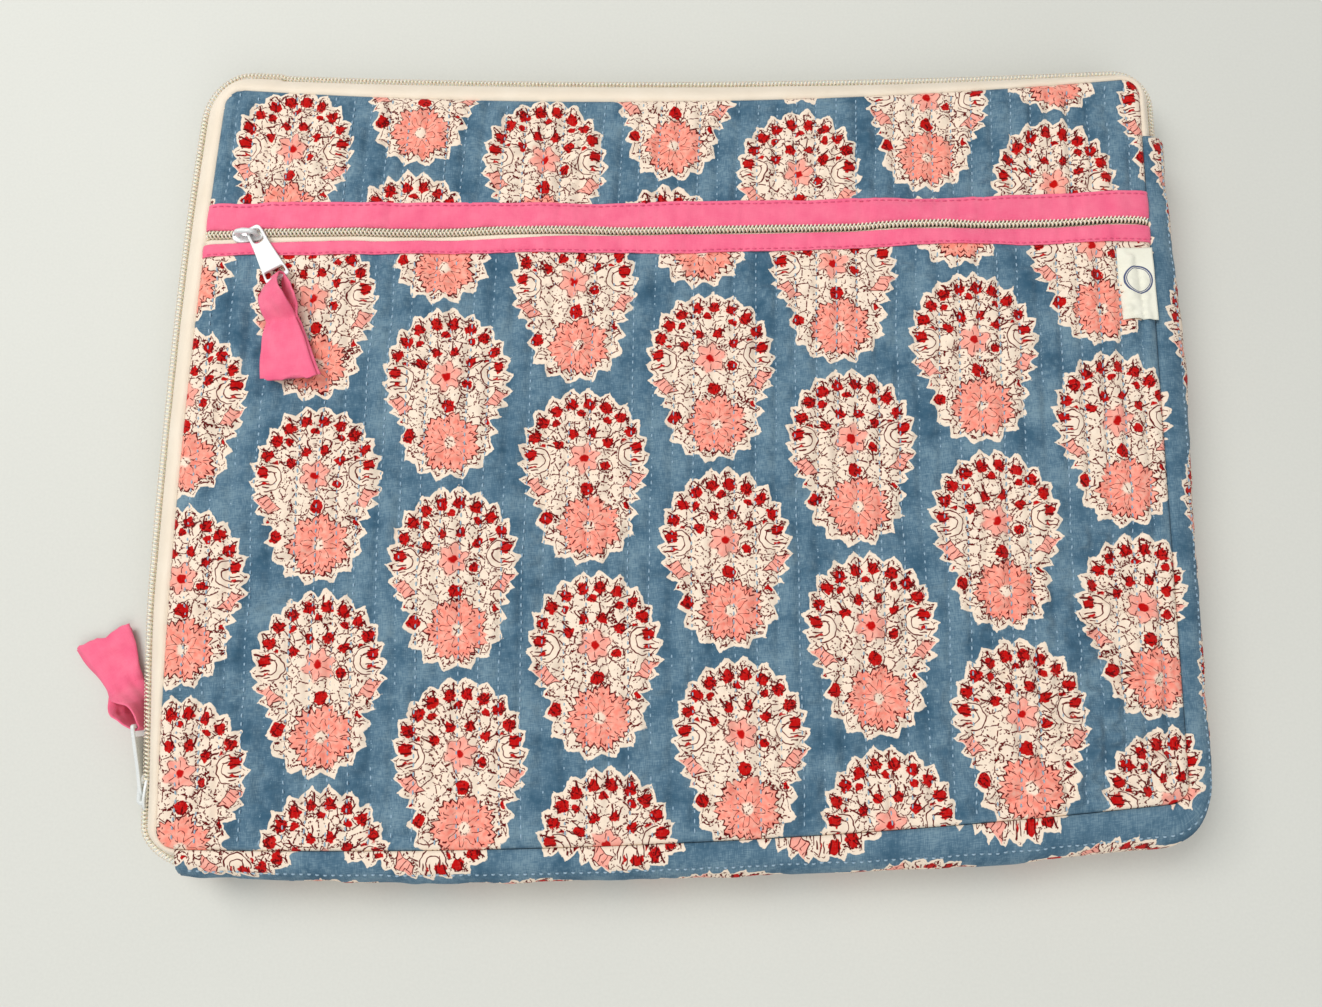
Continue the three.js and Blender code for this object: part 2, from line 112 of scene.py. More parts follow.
def ease(x, low, high):
    """0 up to low, 1 from high on, and a smooth climb between."""
    t = np.clip((np.asarray(x, float) - low) / (high - low), 0, 1)
    return t * t * (3 - 2 * t)


def waver(along, size, seed):
    """Smooth noise along a line."""
    return noise(along, along * 0, size, seed)


def settle(points):
    """How the soft cloth has settled out of square: the corners bow out and the long edges sag."""
    u = np.clip(points[:, 0] / HALF_W, -1.05, 1.05)
    v = np.clip(points[:, 1] / HALF_H, -1.05, 1.05)
    west, east, south, north = (1 - u) / 2, (1 + u) / 2, (1 - v) / 2, (1 + v) / 2
    mid_u, mid_v = 1 - np.minimum(u * u, 1), 1 - np.minimum(v * v, 1)
    dx = north * (4.2 * west + 2.8 * east) - south * (3.1 * west + 5.3 * east)
    dx = dx - mid_v * (4.4 * west + 0.2 * east)
    dy = north * (2.0 * west + 0.5 * east) + south * (8.6 * east - 2.5 * west)
    dy = dy - mid_v * (3.2 * west + 4.5 * east)
    dy = dy - mid_u * (7.6 * np.clip(v, 0, 1) ** 4 + 5.9 * np.clip(-v, 0, 1) ** 3)
    return points + np.stack([dx, dy, 0 * dx], -1)


# ------------------------------------------------------------------ shader expressions
def math_method(kind):
    """A method that adds one math node."""
    return lambda value, *others: value.math(kind, *others)


class Val:
    """A socket that takes part in arithmetic."""

    def __init__(self, tree, out):
        self.tree, self.out = tree, out

    def math(self, kind, *others):
        node = self.tree.nodes.new("ShaderNodeMath")
        node.operation = kind
        for socket, value in zip(node.inputs, (self, *others)):
            if isinstance(value, Val):
                self.tree.links.new(value.out, socket)
            else:
                socket.default_value = value
        return Val(self.tree, node.outputs[0])

    __add__ = __radd__ = math_method("ADD")
    __mul__ = __rmul__ = math_method("MULTIPLY")
    __sub__ = math_method("SUBTRACT")
    __truediv__ = math_method("DIVIDE")
    __abs__ = math_method("ABSOLUTE")
    min = math_method("MINIMUM")
    max = math_method("MAXIMUM")
    fract = math_method("FRACT")
    sin = math_method("SINE")
    round = math_method("ROUND")

    def __rsub__(self, whole):
        return self.math("MULTIPLY_ADD", -1.0, whole)

    def below(self, edge, soft=0.12):
        """1 where the value is under edge, falling to 0 over soft."""
        node = self.tree.nodes.new("ShaderNodeMapRange")
        node.interpolation_type = "SMOOTHSTEP"
        for name, value in (("Value", self), ("From Min", edge - soft), ("From Max", edge + soft)):
            if isinstance(value, Val):
                self.tree.links.new(value.out, node.inputs[name])
            else:
                node.inputs[name].default_value = value
        node.inputs["To Min"].default_value = 1.0
        node.inputs["To Max"].default_value = 0.0
        return Val(self.tree, node.outputs[0])


def length(x, y):
    return (x * x + y * y).math("SQRT")


class Shader:
    """A new material with the few node builders that the finishes share."""

    def __init__(self, name):
        self.material = bpy.data.materials.new(name)
        self.material.use_nodes = True
        self.tree = self.material.node_tree
        self.surface = self.tree.nodes["Principled BSDF"]

    def cloth(self):
        """The piece's own flat coordinates in millimetres, as two values and one vector."""
        node = self.tree.nodes.new("ShaderNodeAttribute")
        node.attribute_name = "cloth"
        parts = self.tree.nodes.new("ShaderNodeSeparateXYZ")
        self.tree.links.new(node.outputs["Vector"], parts.inputs[0])
        return Val(self.tree, parts.outputs[0]), Val(self.tree, parts.outputs[1]), node.outputs["Vector"]

    def place(self):
        """The piece's place in the sleeve, in millimetres."""
        node = self.tree.nodes.new("ShaderNodeTexCoord")
        scale = self.tree.nodes.new("ShaderNodeVectorMath")
        scale.operation = "SCALE"
        scale.inputs["Scale"].default_value = 1 / MM
        self.tree.links.new(node.outputs["Object"], scale.inputs[0])
        return scale.outputs[0]

    def noise(self, vector, scale, detail=2.0, stretch=None):
        if stretch:
            node = self.tree.nodes.new("ShaderNodeVectorMath")
            node.operation = "MULTIPLY"
            node.inputs[1].default_value = stretch
            self.tree.links.new(vector, node.inputs[0])
            vector = node.outputs[0]
        node = self.tree.nodes.new("ShaderNodeTexNoise")
        node.inputs["Scale"].default_value = scale
        node.inputs["Detail"].default_value = detail
        self.tree.links.new(vector, node.inputs["Vector"])
        return Val(self.tree, node.outputs["Fac"])

    def voronoi(self, vector, scale, feature, output="Distance"):
        node = self.tree.nodes.new("ShaderNodeTexVoronoi")
        node.feature = feature
        node.inputs["Scale"].default_value = scale
        self.tree.links.new(vector, node.inputs["Vector"])
        return Val(self.tree, node.outputs[output])

    def vector(self, x, y):
        node = self.tree.nodes.new("ShaderNodeCombineXYZ")
        self.tree.links.new(x.out, node.inputs[0])
        self.tree.links.new(y.out, node.inputs[1])
        return node.outputs[0]

    def mix(self, amount, low, high):
        """A colour between low and high, which are colours or colour sockets."""
        node = self.tree.nodes.new("ShaderNodeMix")
        node.data_type = "RGBA"
        self.tree.links.new(amount.out, node.inputs["Factor"])
        for socket, colour in ((node.inputs[6], low), (node.inputs[7], high)):
            if isinstance(colour, tuple):
                socket.default_value = (*colour, 1.0)
            else:
                self.tree.links.new(colour, socket)
        return node.outputs[2]

    def weave(self, u, v, pitch):
        """A plain weave's height, 0 to 1, from flat coordinates."""
        turn = 2 * math.pi / pitch
        return ((u * turn).sin() * (v * turn).sin()) * 0.5 + 0.5

    def bump(self, height, distance, strength=1.0):
        node = self.tree.nodes.new("ShaderNodeBump")
        node.inputs["Strength"].default_value = strength
        node.inputs["Distance"].default_value = distance * MM
        self.tree.links.new(height.out, node.inputs["Height"])
        self.tree.links.new(node.outputs[0], self.surface.inputs["Normal"])

    def finish(self, colour=None, **values):
        if isinstance(colour, tuple):
            self.surface.inputs["Base Color"].default_value = (*colour, 1.0)
        elif colour is not None:
            self.tree.links.new(colour, self.surface.inputs["Base Color"])
        for name, value in values.items():
            socket = self.surface.inputs[name.replace("_", " ")]
            if isinstance(value, Val):
                self.tree.links.new(value.out, socket)
            else:
                socket.default_value = value
        return self.material


# ------------------------------------------------------------------ the block print
BLUE_DARK, BLUE, BLUE_PALE = (0.033, 0.093, 0.150), (0.086, 0.166, 0.235), (0.190, 0.292, 0.352)
CREAM, CREAM_DARK = (0.93, 0.80, 0.65), (0.82, 0.66, 0.51)
CORAL, CORAL_PALE = (0.90, 0.26, 0.19), (0.90, 0.32, 0.25)
RED, MAROON = (0.50, 0.001, 0.001), (0.115, 0.001, 0.002)


def polar(x, y, cx, cy):
    """Distance and angle about a centre, with the angle zero straight up."""
    dx, dy = x - cx, y - cy
    return length(dx, dy), dx.math("ARCTAN2", dy)


def bud_arc(radius, angle, middle, step, wide, tall):
    """One row of buds round an arc: a value under 1 inside each bud, and its petals' outlines."""
    turn = angle - (angle / step).round() * step
    across, out = abs(radius * turn.sin()), radius - middle
    body = length(across / (wide - out.max(-1.0) * 0.30), out / tall)
    rising = out.below(tall * 2.0, 0.3) * (1.0 - out.below(-0.2, 0.3))
    petals = abs(across - wide * 0.62 - out * 0.22).below(0.27, 0.13) * rising
    stem = across.below(0.17, 0.13) * out.below(-tall, 0.2) * (1.0 - out.below(-tall * 2.1, 0.2))
    return body, petals.max(stem)


def tooth(turn, count, tip):
    """A saw of count pointed teeth round a full turn, 1 at each tip and leaning upwards."""
    share = (abs(turn) * (count / (2 * math.pi))).fract()
    return (share / tip).min((1.0 - share) / (1.0 - tip))


def print_masks(s, u, v):
    """Where each colour of the block lies: cream, coral, pale coral, red and maroon."""
    spread = s.vector(u, v)
    wander_x = (s.noise(spread, 0.30, 1.0) - 0.5) * 1.9
    wander_y = (s.noise(spread, 0.30, 1.0, (1.0, -1.0, 1.0)) - 0.5) * 1.9
    ragged = s.noise(spread, 0.9, 1.0) - 0.5
    worn = s.noise(spread, 0.45, 1.0) - 0.5
    column = (u / MOTIF[0]).round()
    odd = abs(column).math("MODULO", 2.0)
    up = v - odd * (MOTIF[1] / 2)
    row = (up / MOTIF[1]).round()
    x = u - column * MOTIF[0] + wander_x
    y = up - row * MOTIF[1] + wander_y

    # The egg, and the leaf points round its edge.
    egg = (length(x / 22.6, (y - 6.0) / 25.2) - 1.0) * 23.6
    foot = (length((x + 0.5) / 16.6, (y + 15.5) / 16.4) - 1.0) * 16.4
    turn = x.math("ARCTAN2", y + 1.0)
    point = tooth(turn, 26.0, 0.36) * (2.7 + ragged * 2.4)
    edge = egg.min(foot) + 0.6 - point
    cream = (edge + ragged * 0.6).below(0.0, 0.16)
    inside = edge.below(-1.2, 0.2)
    lines = abs(edge + 1.9 + ragged).below(0.20, 0.12) * worn.below(0.0, 0.03)

    # The large flower at the foot.
    radius, angle = polar(x, y, 0.3, -19.0)
    rim = radius - (9.6 + (angle * 7.0).sin() * 0.8) - tooth(angle, 26.0, 0.5) * 1.7 - ragged * 0.8
    coral = rim.below(0.0, 0.5) * (1.0 - (radius + ragged).below(2.1, 0.6))
    lines = lines.max(abs(rim).below(0.36, 0.16) * worn.below(0.07, 0.05))
    lines = lines.max(abs(rim + 2.0 + ragged).below(0.30, 0.15) * (worn * -1.0).below(-0.03, 0.04))
    petal = abs(radius - 4.6 - (angle * 8.0).sin() * 1.9 - ragged)
    lines = lines.max(petal.below(0.28, 0.12) * radius.below(6.2, 0.3) * worn.below(0.09, 0.05))
    lines = lines.max(abs((angle * 4.0).sin()).below(0.07, 0.05) * abs(radius - 7.9).below(1.0) * 0.9)

    # The small flower in the middle.
    radius, angle = polar(x, y, 0.0, 6.3)
    rim = radius - (5.0 + (angle * 6.0).sin() * 0.9) - ragged * 1.2
    pale = rim.below(0.2, 0.9)
    red = (radius + ragged).below(1.5, 0.3)
    lines = lines.max(abs(rim).below(0.18, 0.12) * worn.below(0.05, 0.05))
    lines = lines.max(abs((angle * 3.0).sin()).below(0.13, 0.08) * abs(radius - 3.1).below(1.1))

    # Buds in two arcs over it, and the small ones between.
    radius, angle = polar(x, y, 0.0, 7.5)
    arch = abs(angle).below(math.radians(101), 0.02)
    body, petals = bud_arc(radius, angle + math.radians(9.5), 19.6, math.radians(19), 2.15, 2.3)
    red = red.max((body + ragged * 0.9).below(1.0, 0.08) * arch)
    lines = lines.max(petals * arch)
    small, _ = bud_arc(radius, angle, 15.7, math.radians(38), 1.6, 1.3)
    red = red.max((small + ragged * 0.8).below(1.0, 0.1) * abs(angle).below(1.3, 0.02))
    radius, angle = polar(x, y, 0.0, 5.0)
    body, petals = bud_arc(radius, angle + math.radians(18), 11.4, math.radians(36), 1.7, 2.0)
    near = abs(angle).below(math.radians(72), 0.02)
    red = red.max((body + ragged * 0.9).below(1.0, 0.08) * near)
    lines = lines.max(petals * near)

    # Single buds.
    buds = ((0.3, -5.2, 2.5), (7.6, 2.8, 1.8), (-15.4, -15.2, 2.5), (-19.4, -10.0, 1.8), (14.4, -12.0, 1.3))
    for cx, cy, size in buds:
        away = length(x - cx, y - cy) + ragged * 1.4
        red = red.max((away - size).below(0.0))
        lines = lines.max(abs(away - size - 0.9).below(0.18, 0.12) * (y - cy - x * 0.4).below(cy * 0.1, 0.4))

    # A pair of pink leaves, and a pair of open hands of outlined fingers.
    side = abs(x)
    leaf = abs(side - 17.8) * 0.205 + abs(y + 3.6 - (side - 17.0) * 0.45) * (0.29 + abs(side - 17.8) * 0.045)
    pale = pale.max(leaf.below(1.0, 0.10))
    lines = lines.max(abs(leaf - 1.03).below(0.085, 0.05) * worn.below(0.08, 0.05))
    lines = lines.max(abs(((side * 0.9 + y) / 2.6).fract() - 0.5).below(0.07, 0.05) * leaf.below(0.85) * 0.9)
    palm = length(side - 17.4, y - 6.6)
    hand = side.below(18.2, 0.3)
    lines = lines.max(abs(palm - 4.9).below(0.20, 0.12) * hand)
    lines = lines.max(abs(palm - 2.7).below(0.18, 0.12) * hand)
    finger = abs(((y - 6.6) / 2.45).fract() - 0.5) * 2.45
    reach = side + abs(y - 6.6) * 0.6
    spread_out = reach.below(21.8, 0.3) * (1.0 - side.below(17.2, 0.3)) * palm.below(6.0)
    lines = lines.max(finger.below(0.21, 0.12) * spread_out)

    # Fine vines and dots over the cream that is left.
    free = (1.0 - coral.max(pale)) * (1.0 - palm.below(5.3))
    vine = s.voronoi(spread, 0.22, "DISTANCE_TO_EDGE")
    twig = s.voronoi(spread, 0.36, "DISTANCE_TO_EDGE")
    speck = s.voronoi(spread, 0.52, "F1")
    broken = s.noise(spread, 1.3, 1.0) - 0.5
    shown = worn.below(0.045, 0.03) * broken.below(0.06, 0.06) * free
    lines = lines.max(vine.below(0.042, 0.024) * shown)
    shown = (worn * -1.0).below(-0.04, 0.03) * broken.below(0.05, 0.05) * free
    lines = lines.max(twig.below(0.062, 0.034) * shown)
    lines = lines.max(speck.below(0.15, 0.05) * free * ragged.below(0.05, 0.04))
    return cream, coral, pale, red * inside, lines * inside


def block_print():
    s = Shader("block_printed_cotton")
    u, v, flat = s.cloth()
    cream, coral, pale, red, lines = print_masks(s, u, v)
    cloud = s.noise(flat, 0.07, 4.0)
    patch = s.noise(flat, 0.5, 3.0)
    weft = s.noise(flat, 1.0, 2.0, (0.35, 3.2, 1.0))
    warp = s.noise(flat, 1.0, 2.0, (3.2, 0.35, 1.0))
    slub = (weft + warp) * 0.5
    tone = cloud * 0.75 + patch * 0.25
    ground = s.mix((tone - 0.42).below(0.0, 0.16), BLUE, BLUE_DARK)
    ground = s.mix((0.60 - tone * 0.5 - slub * 0.55).below(0.03, 0.10), ground, BLUE_PALE)
    white = s.mix(patch, CREAM_DARK, CREAM)
    colour = s.mix(cream, ground, white)
    colour = s.mix(pale * (patch * 0.8 + 0.45).min(1.0), colour, CORAL_PALE)
    colour = s.mix(coral * (patch * 1.2 + 0.25).min(1.0), colour, CORAL)
    colour = s.mix(red * (slub * 0.3 + 0.85).min(1.0), colour, RED)
    colour = s.mix((lines * 1.25).min(1.0), colour, MAROON)
    height = s.weave(u, v, 0.62) * 0.6 + slub * 0.8
    s.bump(height, 0.10, 0.6)
    return s.finish(colour, Roughness=0.88, Sheen_Weight=0.05, Sheen_Roughness=0.5, Specular_IOR_Level=0.1)


# ------------------------------------------------------------------ the plain finishes
def plain_cloth(name, dark, light, pitch, depth):
    s = Shader(name)
    u, v, flat = s.cloth()
    blotch = s.noise(flat, 0.12, 3.0)
    weft = s.noise(flat, 1.2, 2.0, (0.3, 3.0, 1.0))
    warp = s.noise(flat, 1.2, 2.0, (3.0, 0.3, 1.0))
    slub = (weft + warp) * 0.5
    colour = s.mix((blotch * 0.6 + slub * 0.4 - 0.15) * 1.4, dark, light)
    s.bump(s.weave(u, v, pitch) * 0.7 + slub * 0.5, depth, 0.7)
    return s.finish(colour, Roughness=0.85, Sheen_Weight=0.15, Specular_IOR_Level=0.25)


def zip_tape():
    """Woven polyester tape, with fine ribs along it."""
    s = Shader("woven_zip_tape")
    u, v, flat = s.cloth()
    rib = (v * (2 * math.pi / 0.75)).sin()
    twill = ((u + v) * (2 * math.pi / 0.9)).sin()
    grain = s.noise(flat, 1.4, 2.0)
    tone = s.noise(flat, 0.08, 3.0) * 0.8 + grain * 0.2
    colour = s.mix(tone, (0.74, 0.62, 0.47), (0.90, 0.80, 0.66))
    s.bump((rib * 0.5 + twill * 0.35) * 0.5 + grain * 0.4, 0.09, 0.7)
    return s.finish(colour, Roughness=0.7, Sheen_Weight=0.2, Specular_IOR_Level=0.3)


def nylon():
    s = Shader("nylon_coil")
    where = s.place()
    tone = s.noise(where, 0.2, 2.0) * 0.5 + s.noise(where, 1.6, 2.0) * 0.5
    colour = s.mix(tone, (0.80, 0.71, 0.53), (0.95, 0.90, 0.76))
    return s.finish(colour, Roughness=0.42, Subsurface_Weight=0.15, Subsurface_Scale=0.0008)


def enamel():
    """White enamel over cast zinc, faintly rippled and rubbed."""
    s = Shader("white_enamel")
    where = s.place()
    ripple = s.noise(where, 0.55, 2.0)
    rub = s.noise(where, 2.2, 3.0)
    colour = s.mix(ripple * 0.6 + rub * 0.4, (0.60, 0.63, 0.62), (0.78, 0.80, 0.77))
    s.bump(ripple * 0.6 + rub * 0.12, 0.12, 0.5)
    return s.finish(colour, Roughness=rub * 0.25 + 0.16, Coat_Weight=0.35, Coat_Roughness=0.12)


def steel():
    s = Shader("spring_steel")
    where = s.place()
    brushed = s.noise(where, 1.0, 2.0, (0.6, 8.0, 0.6))
    colour = s.mix(brushed, (0.42, 0.43, 0.44), (0.62, 0.62, 0.61))
    return s.finish(colour, Metallic=1.0, Roughness=brushed * 0.3 + 0.2)


def thread(name, dark, light):
    s = Shader(name)
    where = s.place()
    colour = s.mix(s.noise(where, 0.6, 2.0), dark, light)
    s.bump(s.noise(where, 5.0, 1.0), 0.08, 0.6)
    return s.finish(colour, Roughness=0.6, Sheen_Weight=0.2)


def batting():
    s = Shader("foam_batting")
    where = s.place()
    pores = s.voronoi(where, 1.1, "F1")
    # The colour darkens towards each pore's middle, where the bump sinks: painted shade in the pores.
    colour = s.mix(pores, (0.55, 0.55, 0.53), (0.80, 0.80, 0.77))
    s.bump(pores, 0.2, 0.6)
    return s.finish(colour, Roughness=1.0)


def floor_cloth():
    s = Shader("pale_floor")
    where = s.place()
    tone = s.noise(where, 0.004, 3.0) * 0.5 + s.noise(where, 0.9, 2.0) * 0.5
    colour = s.mix(tone, (0.59, 0.59, 0.54), (0.70, 0.70, 0.64))
    s.bump(s.noise(where, 1.2, 2.0), 0.05, 0.3)
    return s.finish(colour, Roughness=0.8)


PRINT = block_print()
PINK = plain_cloth("pink_cotton", (0.80, 0.065, 0.185), (1.0, 0.25, 0.355), 0.55, 0.16)
LINING = plain_cloth("lining_cotton", (0.66, 0.60, 0.48), (0.82, 0.77, 0.65), 0.55, 0.07)
LABEL = plain_cloth("label_cotton", (0.76, 0.74, 0.60), (0.90, 0.88, 0.76), 0.5, 0.06)
TAPE = zip_tape()
NYLON = nylon()
ENAMEL = enamel()
STEEL = steel()
BATTING = batting()
QUILT_THREAD = thread("quilting_thread", (0.22, 0.35, 0.46), (0.36, 0.50, 0.60))
PINK_THREAD = thread("pink_thread", (0.62, 0.04, 0.13), (0.86, 0.10, 0.25))
CREAM_THREAD = thread("cream_thread", (0.60, 0.50, 0.37), (0.85, 0.76, 0.62))
INK = thread("label_ink", (0.035, 0.05, 0.14), (0.09, 0.12, 0.24))


# ------------------------------------------------------------------ mesh helpers
def make(name, points, faces, material, body, cloth=None, smooth=True, settled=True):
    """A piece from points in millimetres, attached to body when one is given and otherwise to none.

    cloth gives the fabric's own flat coordinates. settled moves the points with the soft cloth.
    """
    mesh = bpy.data.meshes.new(name)
    points = settle(np.asarray(points, float)) if settled else np.asarray(points)
    mesh.from_pydata((points * MM).tolist(), [], [tuple(f) for f in faces])
    mesh.update()
    mesh.materials.append(material)
    if cloth is not None:
        flat = np.zeros((len(mesh.vertices), 3), np.float32)
        flat[:, :2] = cloth
        mesh.attributes.new("cloth", "FLOAT_VECTOR", "POINT").data.foreach_set("vector", flat.ravel())
    mesh.shade_smooth() if smooth else mesh.shade_flat()
    piece = bpy.data.objects.new(name, mesh)
    bpy.context.collection.objects.link(piece)
    if body:
        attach(piece, body)
    else:
        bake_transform(piece)
    return piece


def loft(rings, closed=True, caps=True):
    """Points and faces through rings, an array of shape rings x points x 3."""
    n, m = rings.shape[:2]
    i, j = np.meshgrid(np.arange(n - 1), np.arange(m if closed else m - 1), indexing="ij")
    a, b = i * m + j, i * m + (j + 1) % m
    faces = np.stack([a, b, b + m, a + m], -1).reshape(-1, 4).tolist()
    if caps and closed:
        faces.append(list(range(m))[::-1])
        faces.append(list(range((n - 1) * m, n * m)))
    return rings.reshape(-1, 3), faces


def layered(upper, lower):
    """Points and faces of a closed layer between two grids of points."""
    return loft(np.concatenate([upper, lower[:, ::-1]], 1))


def laid_flat(along, across):
    """Flat coordinates for rings: how far along each ring lies, and how far across each of its points."""
    return np.stack([np.repeat(along, len(across)), np.tile(across, len(along))], -1)


def joined(parts):
    """Several points-and-faces pairs as one."""
    points, faces, count = [], [], 0
    for p, f in parts:
        points.append(np.asarray(p))
        faces.extend([[k + count for k in face] for face in f])
        count += len(p)
    return np.concatenate(points), faces


def travel(segments, step):
    """Stations along lines and arcs: places, outward directions and distances along."""
    places, outward = [], []
    for kind, *data in segments:
        if kind == "line":
            a, b = map(np.array, data)
            size = np.linalg.norm(b - a)
            t = np.linspace(0, 1, max(2, int(round(size / step)) + 1))[:, None]
            along = (b - a) / size
            places.append(a + (b - a) * t)
            outward.append(np.repeat([[-along[1], along[0]]], len(t), 0))
        else:
            (cx, cy), r, start, end = data
            count = max(6, int(round(abs(math.radians(end - start)) * (r + FLARE * 0.6) / step)) + 1)
            angle = np.radians(np.linspace(start, end, count))
            way = np.stack([np.cos(angle), np.sin(angle)], 1)
            places.append(np.array([cx, cy]) + r * way)
            outward.append(way)
    place, out = np.concatenate(places), np.concatenate(outward)
    keep = np.r_[True, np.linalg.norm(np.diff(place, axis=0), axis=1) > 1e-6]
    place, out = place[keep], out[keep]
    gone = np.r_[0, np.cumsum(np.linalg.norm(np.diff(place, axis=0), axis=1))]
    return place, out, gone


def zip_reach(place):
    """How far out the main zip hangs from the seam: most at the middle of the top edge."""
    u, y = np.clip(place[:, 0] / HALF_W, -1, 1), place[:, 1]
    tuck = 2.4 * ease(-y, HALF_H * 0.35, HALF_H * 0.85) + 3.0 * ease(-y, HALF_H - CORNER, HALF_H)
    left = 0.8 * (u < -0.9) * ease(y, 0, HALF_H * 0.7)
    return TAPE_REACH - tuck - 1.0 - 1.4 * u + 3.4 * (1 - u * u) + left


def corner_arc(sx, sy, start, end):
    """The arc round a corner of the panels, as travel() reads it. sx and sy name the corner."""
    return ("arc", (sx * (HALF_W - CORNER), sy * (HALF_H - CORNER)), CORNER, start, end)


ZIP_TRACK = [
    corner_arc(-1, -1, 270, 180),
    ("line", (-HALF_W, -HALF_H + CORNER), (-HALF_W, HALF_H - CORNER)),
    corner_arc(-1, 1, 180, 90),
    ("line", (-HALF_W + CORNER, HALF_H), (HALF_W - CORNER, HALF_H)),
    corner_arc(1, 1, 90, 0),
    ("line", (HALF_W, HALF_H - CORNER), (HALF_W, ZIP_END_Y - 5)),
]
GUSSET_TRACK = [
    ("line", (HALF_W, ZIP_END_Y), (HALF_W, -HALF_H + CORNER)),
    corner_arc(1, -1, 0, -90),
    ("line", (HALF_W - CORNER, -HALF_H), (-HALF_W + CORNER, -HALF_H)),
]


def swept(stations, out, height):
    """Rings at stations, from arrays of how far out and how high each point of the section is."""
    place, way, _ = stations
    out = np.broadcast_to(out, (len(place), np.shape(out)[-1]))
    height = np.broadcast_to(height, out.shape)
    flat = place[:, None] + way[:, None] * out[..., None]
    return np.concatenate([flat, height[..., None]], -1)


def stitches(name, starts, ends, ups, material, body, width=0.58, rise=0.22, settled=True):
    """Short thread stitches between pairs of points, as one piece.

    Each is a slim closed grain of 14 points: three rings of four, then its two tips.
    """
    starts, ends, ups = map(np.asarray, (starts, ends, ups))
    along = ends - starts
    size = np.linalg.norm(along, axis=1, keepdims=True)
    along = along / size
    side = np.cross(ups, along)
    side /= np.linalg.norm(side, axis=1, keepdims=True)
    up = np.cross(along, side)
    rings = []
    for t, fat in ((0.06, 0.7), (0.5, 1.0), (0.94, 0.7)):
        middle = starts + along * size * t + up * rise * math.sin(math.pi * t)
        for angle in (0.25, 0.75, 1.25, 1.75):
            a = math.pi * angle
            rings.append(middle + (side * math.cos(a) + up * math.sin(a) * 0.8) * width / 2 * fat * 1.3)
    tips = [starts - up * 0.1, ends - up * 0.1]
    points = np.stack(rings + tips, 1)
    one = []
    for ring in (0, 4):
        for k in range(4):
            one.append([ring + k, ring + (k + 1) % 4, ring + 4 + (k + 1) % 4, ring + 4 + k])
    for k in range(4):
        one.append([12, (k + 1) % 4, k])
        one.append([13, 8 + k, 8 + (k + 1) % 4])
    count = len(starts)
    faces = []
    for base in range(0, count * 14, 14):
        faces.extend([[base + k for k in face] for face in one])
    return make(name, points.reshape(-1, 3), faces, material, body, settled=settled)


# ------------------------------------------------------------------ the quilted panels
def simulated_relief():
    """Soft folds of the front, from a cloth sewn down round its seams and filled from below."""
    nx, ny = 61, 49
    x, y = np.meshgrid(np.linspace(-HALF_W, HALF_W, nx), np.linspace(-HALF_H, HALF_H, ny), indexing="ij")
    z = 2.0 * noise(x, y, 34, 5) + 1.2 * noise(x, y, 17, 6)
    points = np.stack([x, y, z], -1).reshape(-1, 3)
    i, j = np.meshgrid(np.arange(nx - 1), np.arange(ny - 1), indexing="ij")
    a = (i * ny + j).ravel()
    faces = np.stack([a, a + ny, a + ny + 1, a + 1], 1).tolist()
    mesh = bpy.data.meshes.new("relief")
    mesh.from_pydata((points * MM).tolist(), [], faces)
    sheet = bpy.data.objects.new("relief", mesh)
    bpy.context.collection.objects.link(sheet)
    pins = sheet.vertex_groups.new(name="seam")
    border = [k for k in range(nx * ny) if k // ny in (0, nx - 1) or k % ny in (0, ny - 1)]
    pins.add(border, 1.0, "REPLACE")
    cloth = sheet.modifiers.new("Cloth", "CLOTH")
    cloth.settings.quality = 5
    cloth.settings.mass = 0.3
    cloth.settings.tension_stiffness = 30
    cloth.settings.compression_stiffness = 30
    cloth.settings.bending_stiffness = 3
    cloth.settings.vertex_group_mass = "seam"
    cloth.settings.shrink_min = -0.02
    cloth.settings.use_pressure = True
    cloth.settings.uniform_pressure_force = 0.4
    cloth.settings.effector_weights.gravity = 0.0
    cloth.collision_settings.use_collision = False
    scene = bpy.context.scene
    for step in range(1, 21):
        scene.frame_set(step)
    solved = sheet.evaluated_get(bpy.context.evaluated_depsgraph_get()).to_mesh()
    found = np.array([p.co.z for p in solved.vertices]).reshape(nx, ny) / MM
    sheet.evaluated_get(bpy.context.evaluated_depsgraph_get()).to_mesh_clear()
    bpy.data.objects.remove(sheet)
    scene.frame_set(1)
    crown = (1 - (x / HALF_W) ** 2) * (1 - (y / HALF_H) ** 2)
    found = found - crown * (found * crown).sum() / (crown ** 2).sum()
    return x[:, 0], y[0], np.clip(found, -2.5, 2.5)


RELIEF = simulated_relief()


def relief(x, y):
    """The simulated folds' height at any point, by straight-line interpolation."""
    gx, gy, table = RELIEF
    u = np.clip((x - gx[0]) / (gx[1] - gx[0]), 0, len(gx) - 1.001)
    v = np.clip((y - gy[0]) / (gy[1] - gy[0]), 0, len(gy) - 1.001)
    i, j = u.astype(int), v.astype(int)
    u, v = u - i, v - j
    u, v = u * u * (3 - 2 * u), v * v * (3 - 2 * v)
    low = table[i, j] * (1 - u) + table[i + 1, j] * u
    high = table[i, j + 1] * (1 - u) + table[i + 1, j + 1] * u
    return low * (1 - v) + high * v


def line_shift(k, y):
    """How far quilting line k wanders from straight."""
    return 0.55 * noise(y, k * 37.0, 55, 11) + 0.25 * noise(y, k * 37.0, 14, 12)


def seam_distance(x, y):
    """How far a point of a panel is inside its seam."""
    qx, qy = np.abs(x) - (HALF_W - CORNER), np.abs(y) - (HALF_H - CORNER)
    outside = np.hypot(np.maximum(qx, 0), np.maximum(qy, 0)) + np.minimum(np.maximum(qx, qy), 0)
    return CORNER - outside


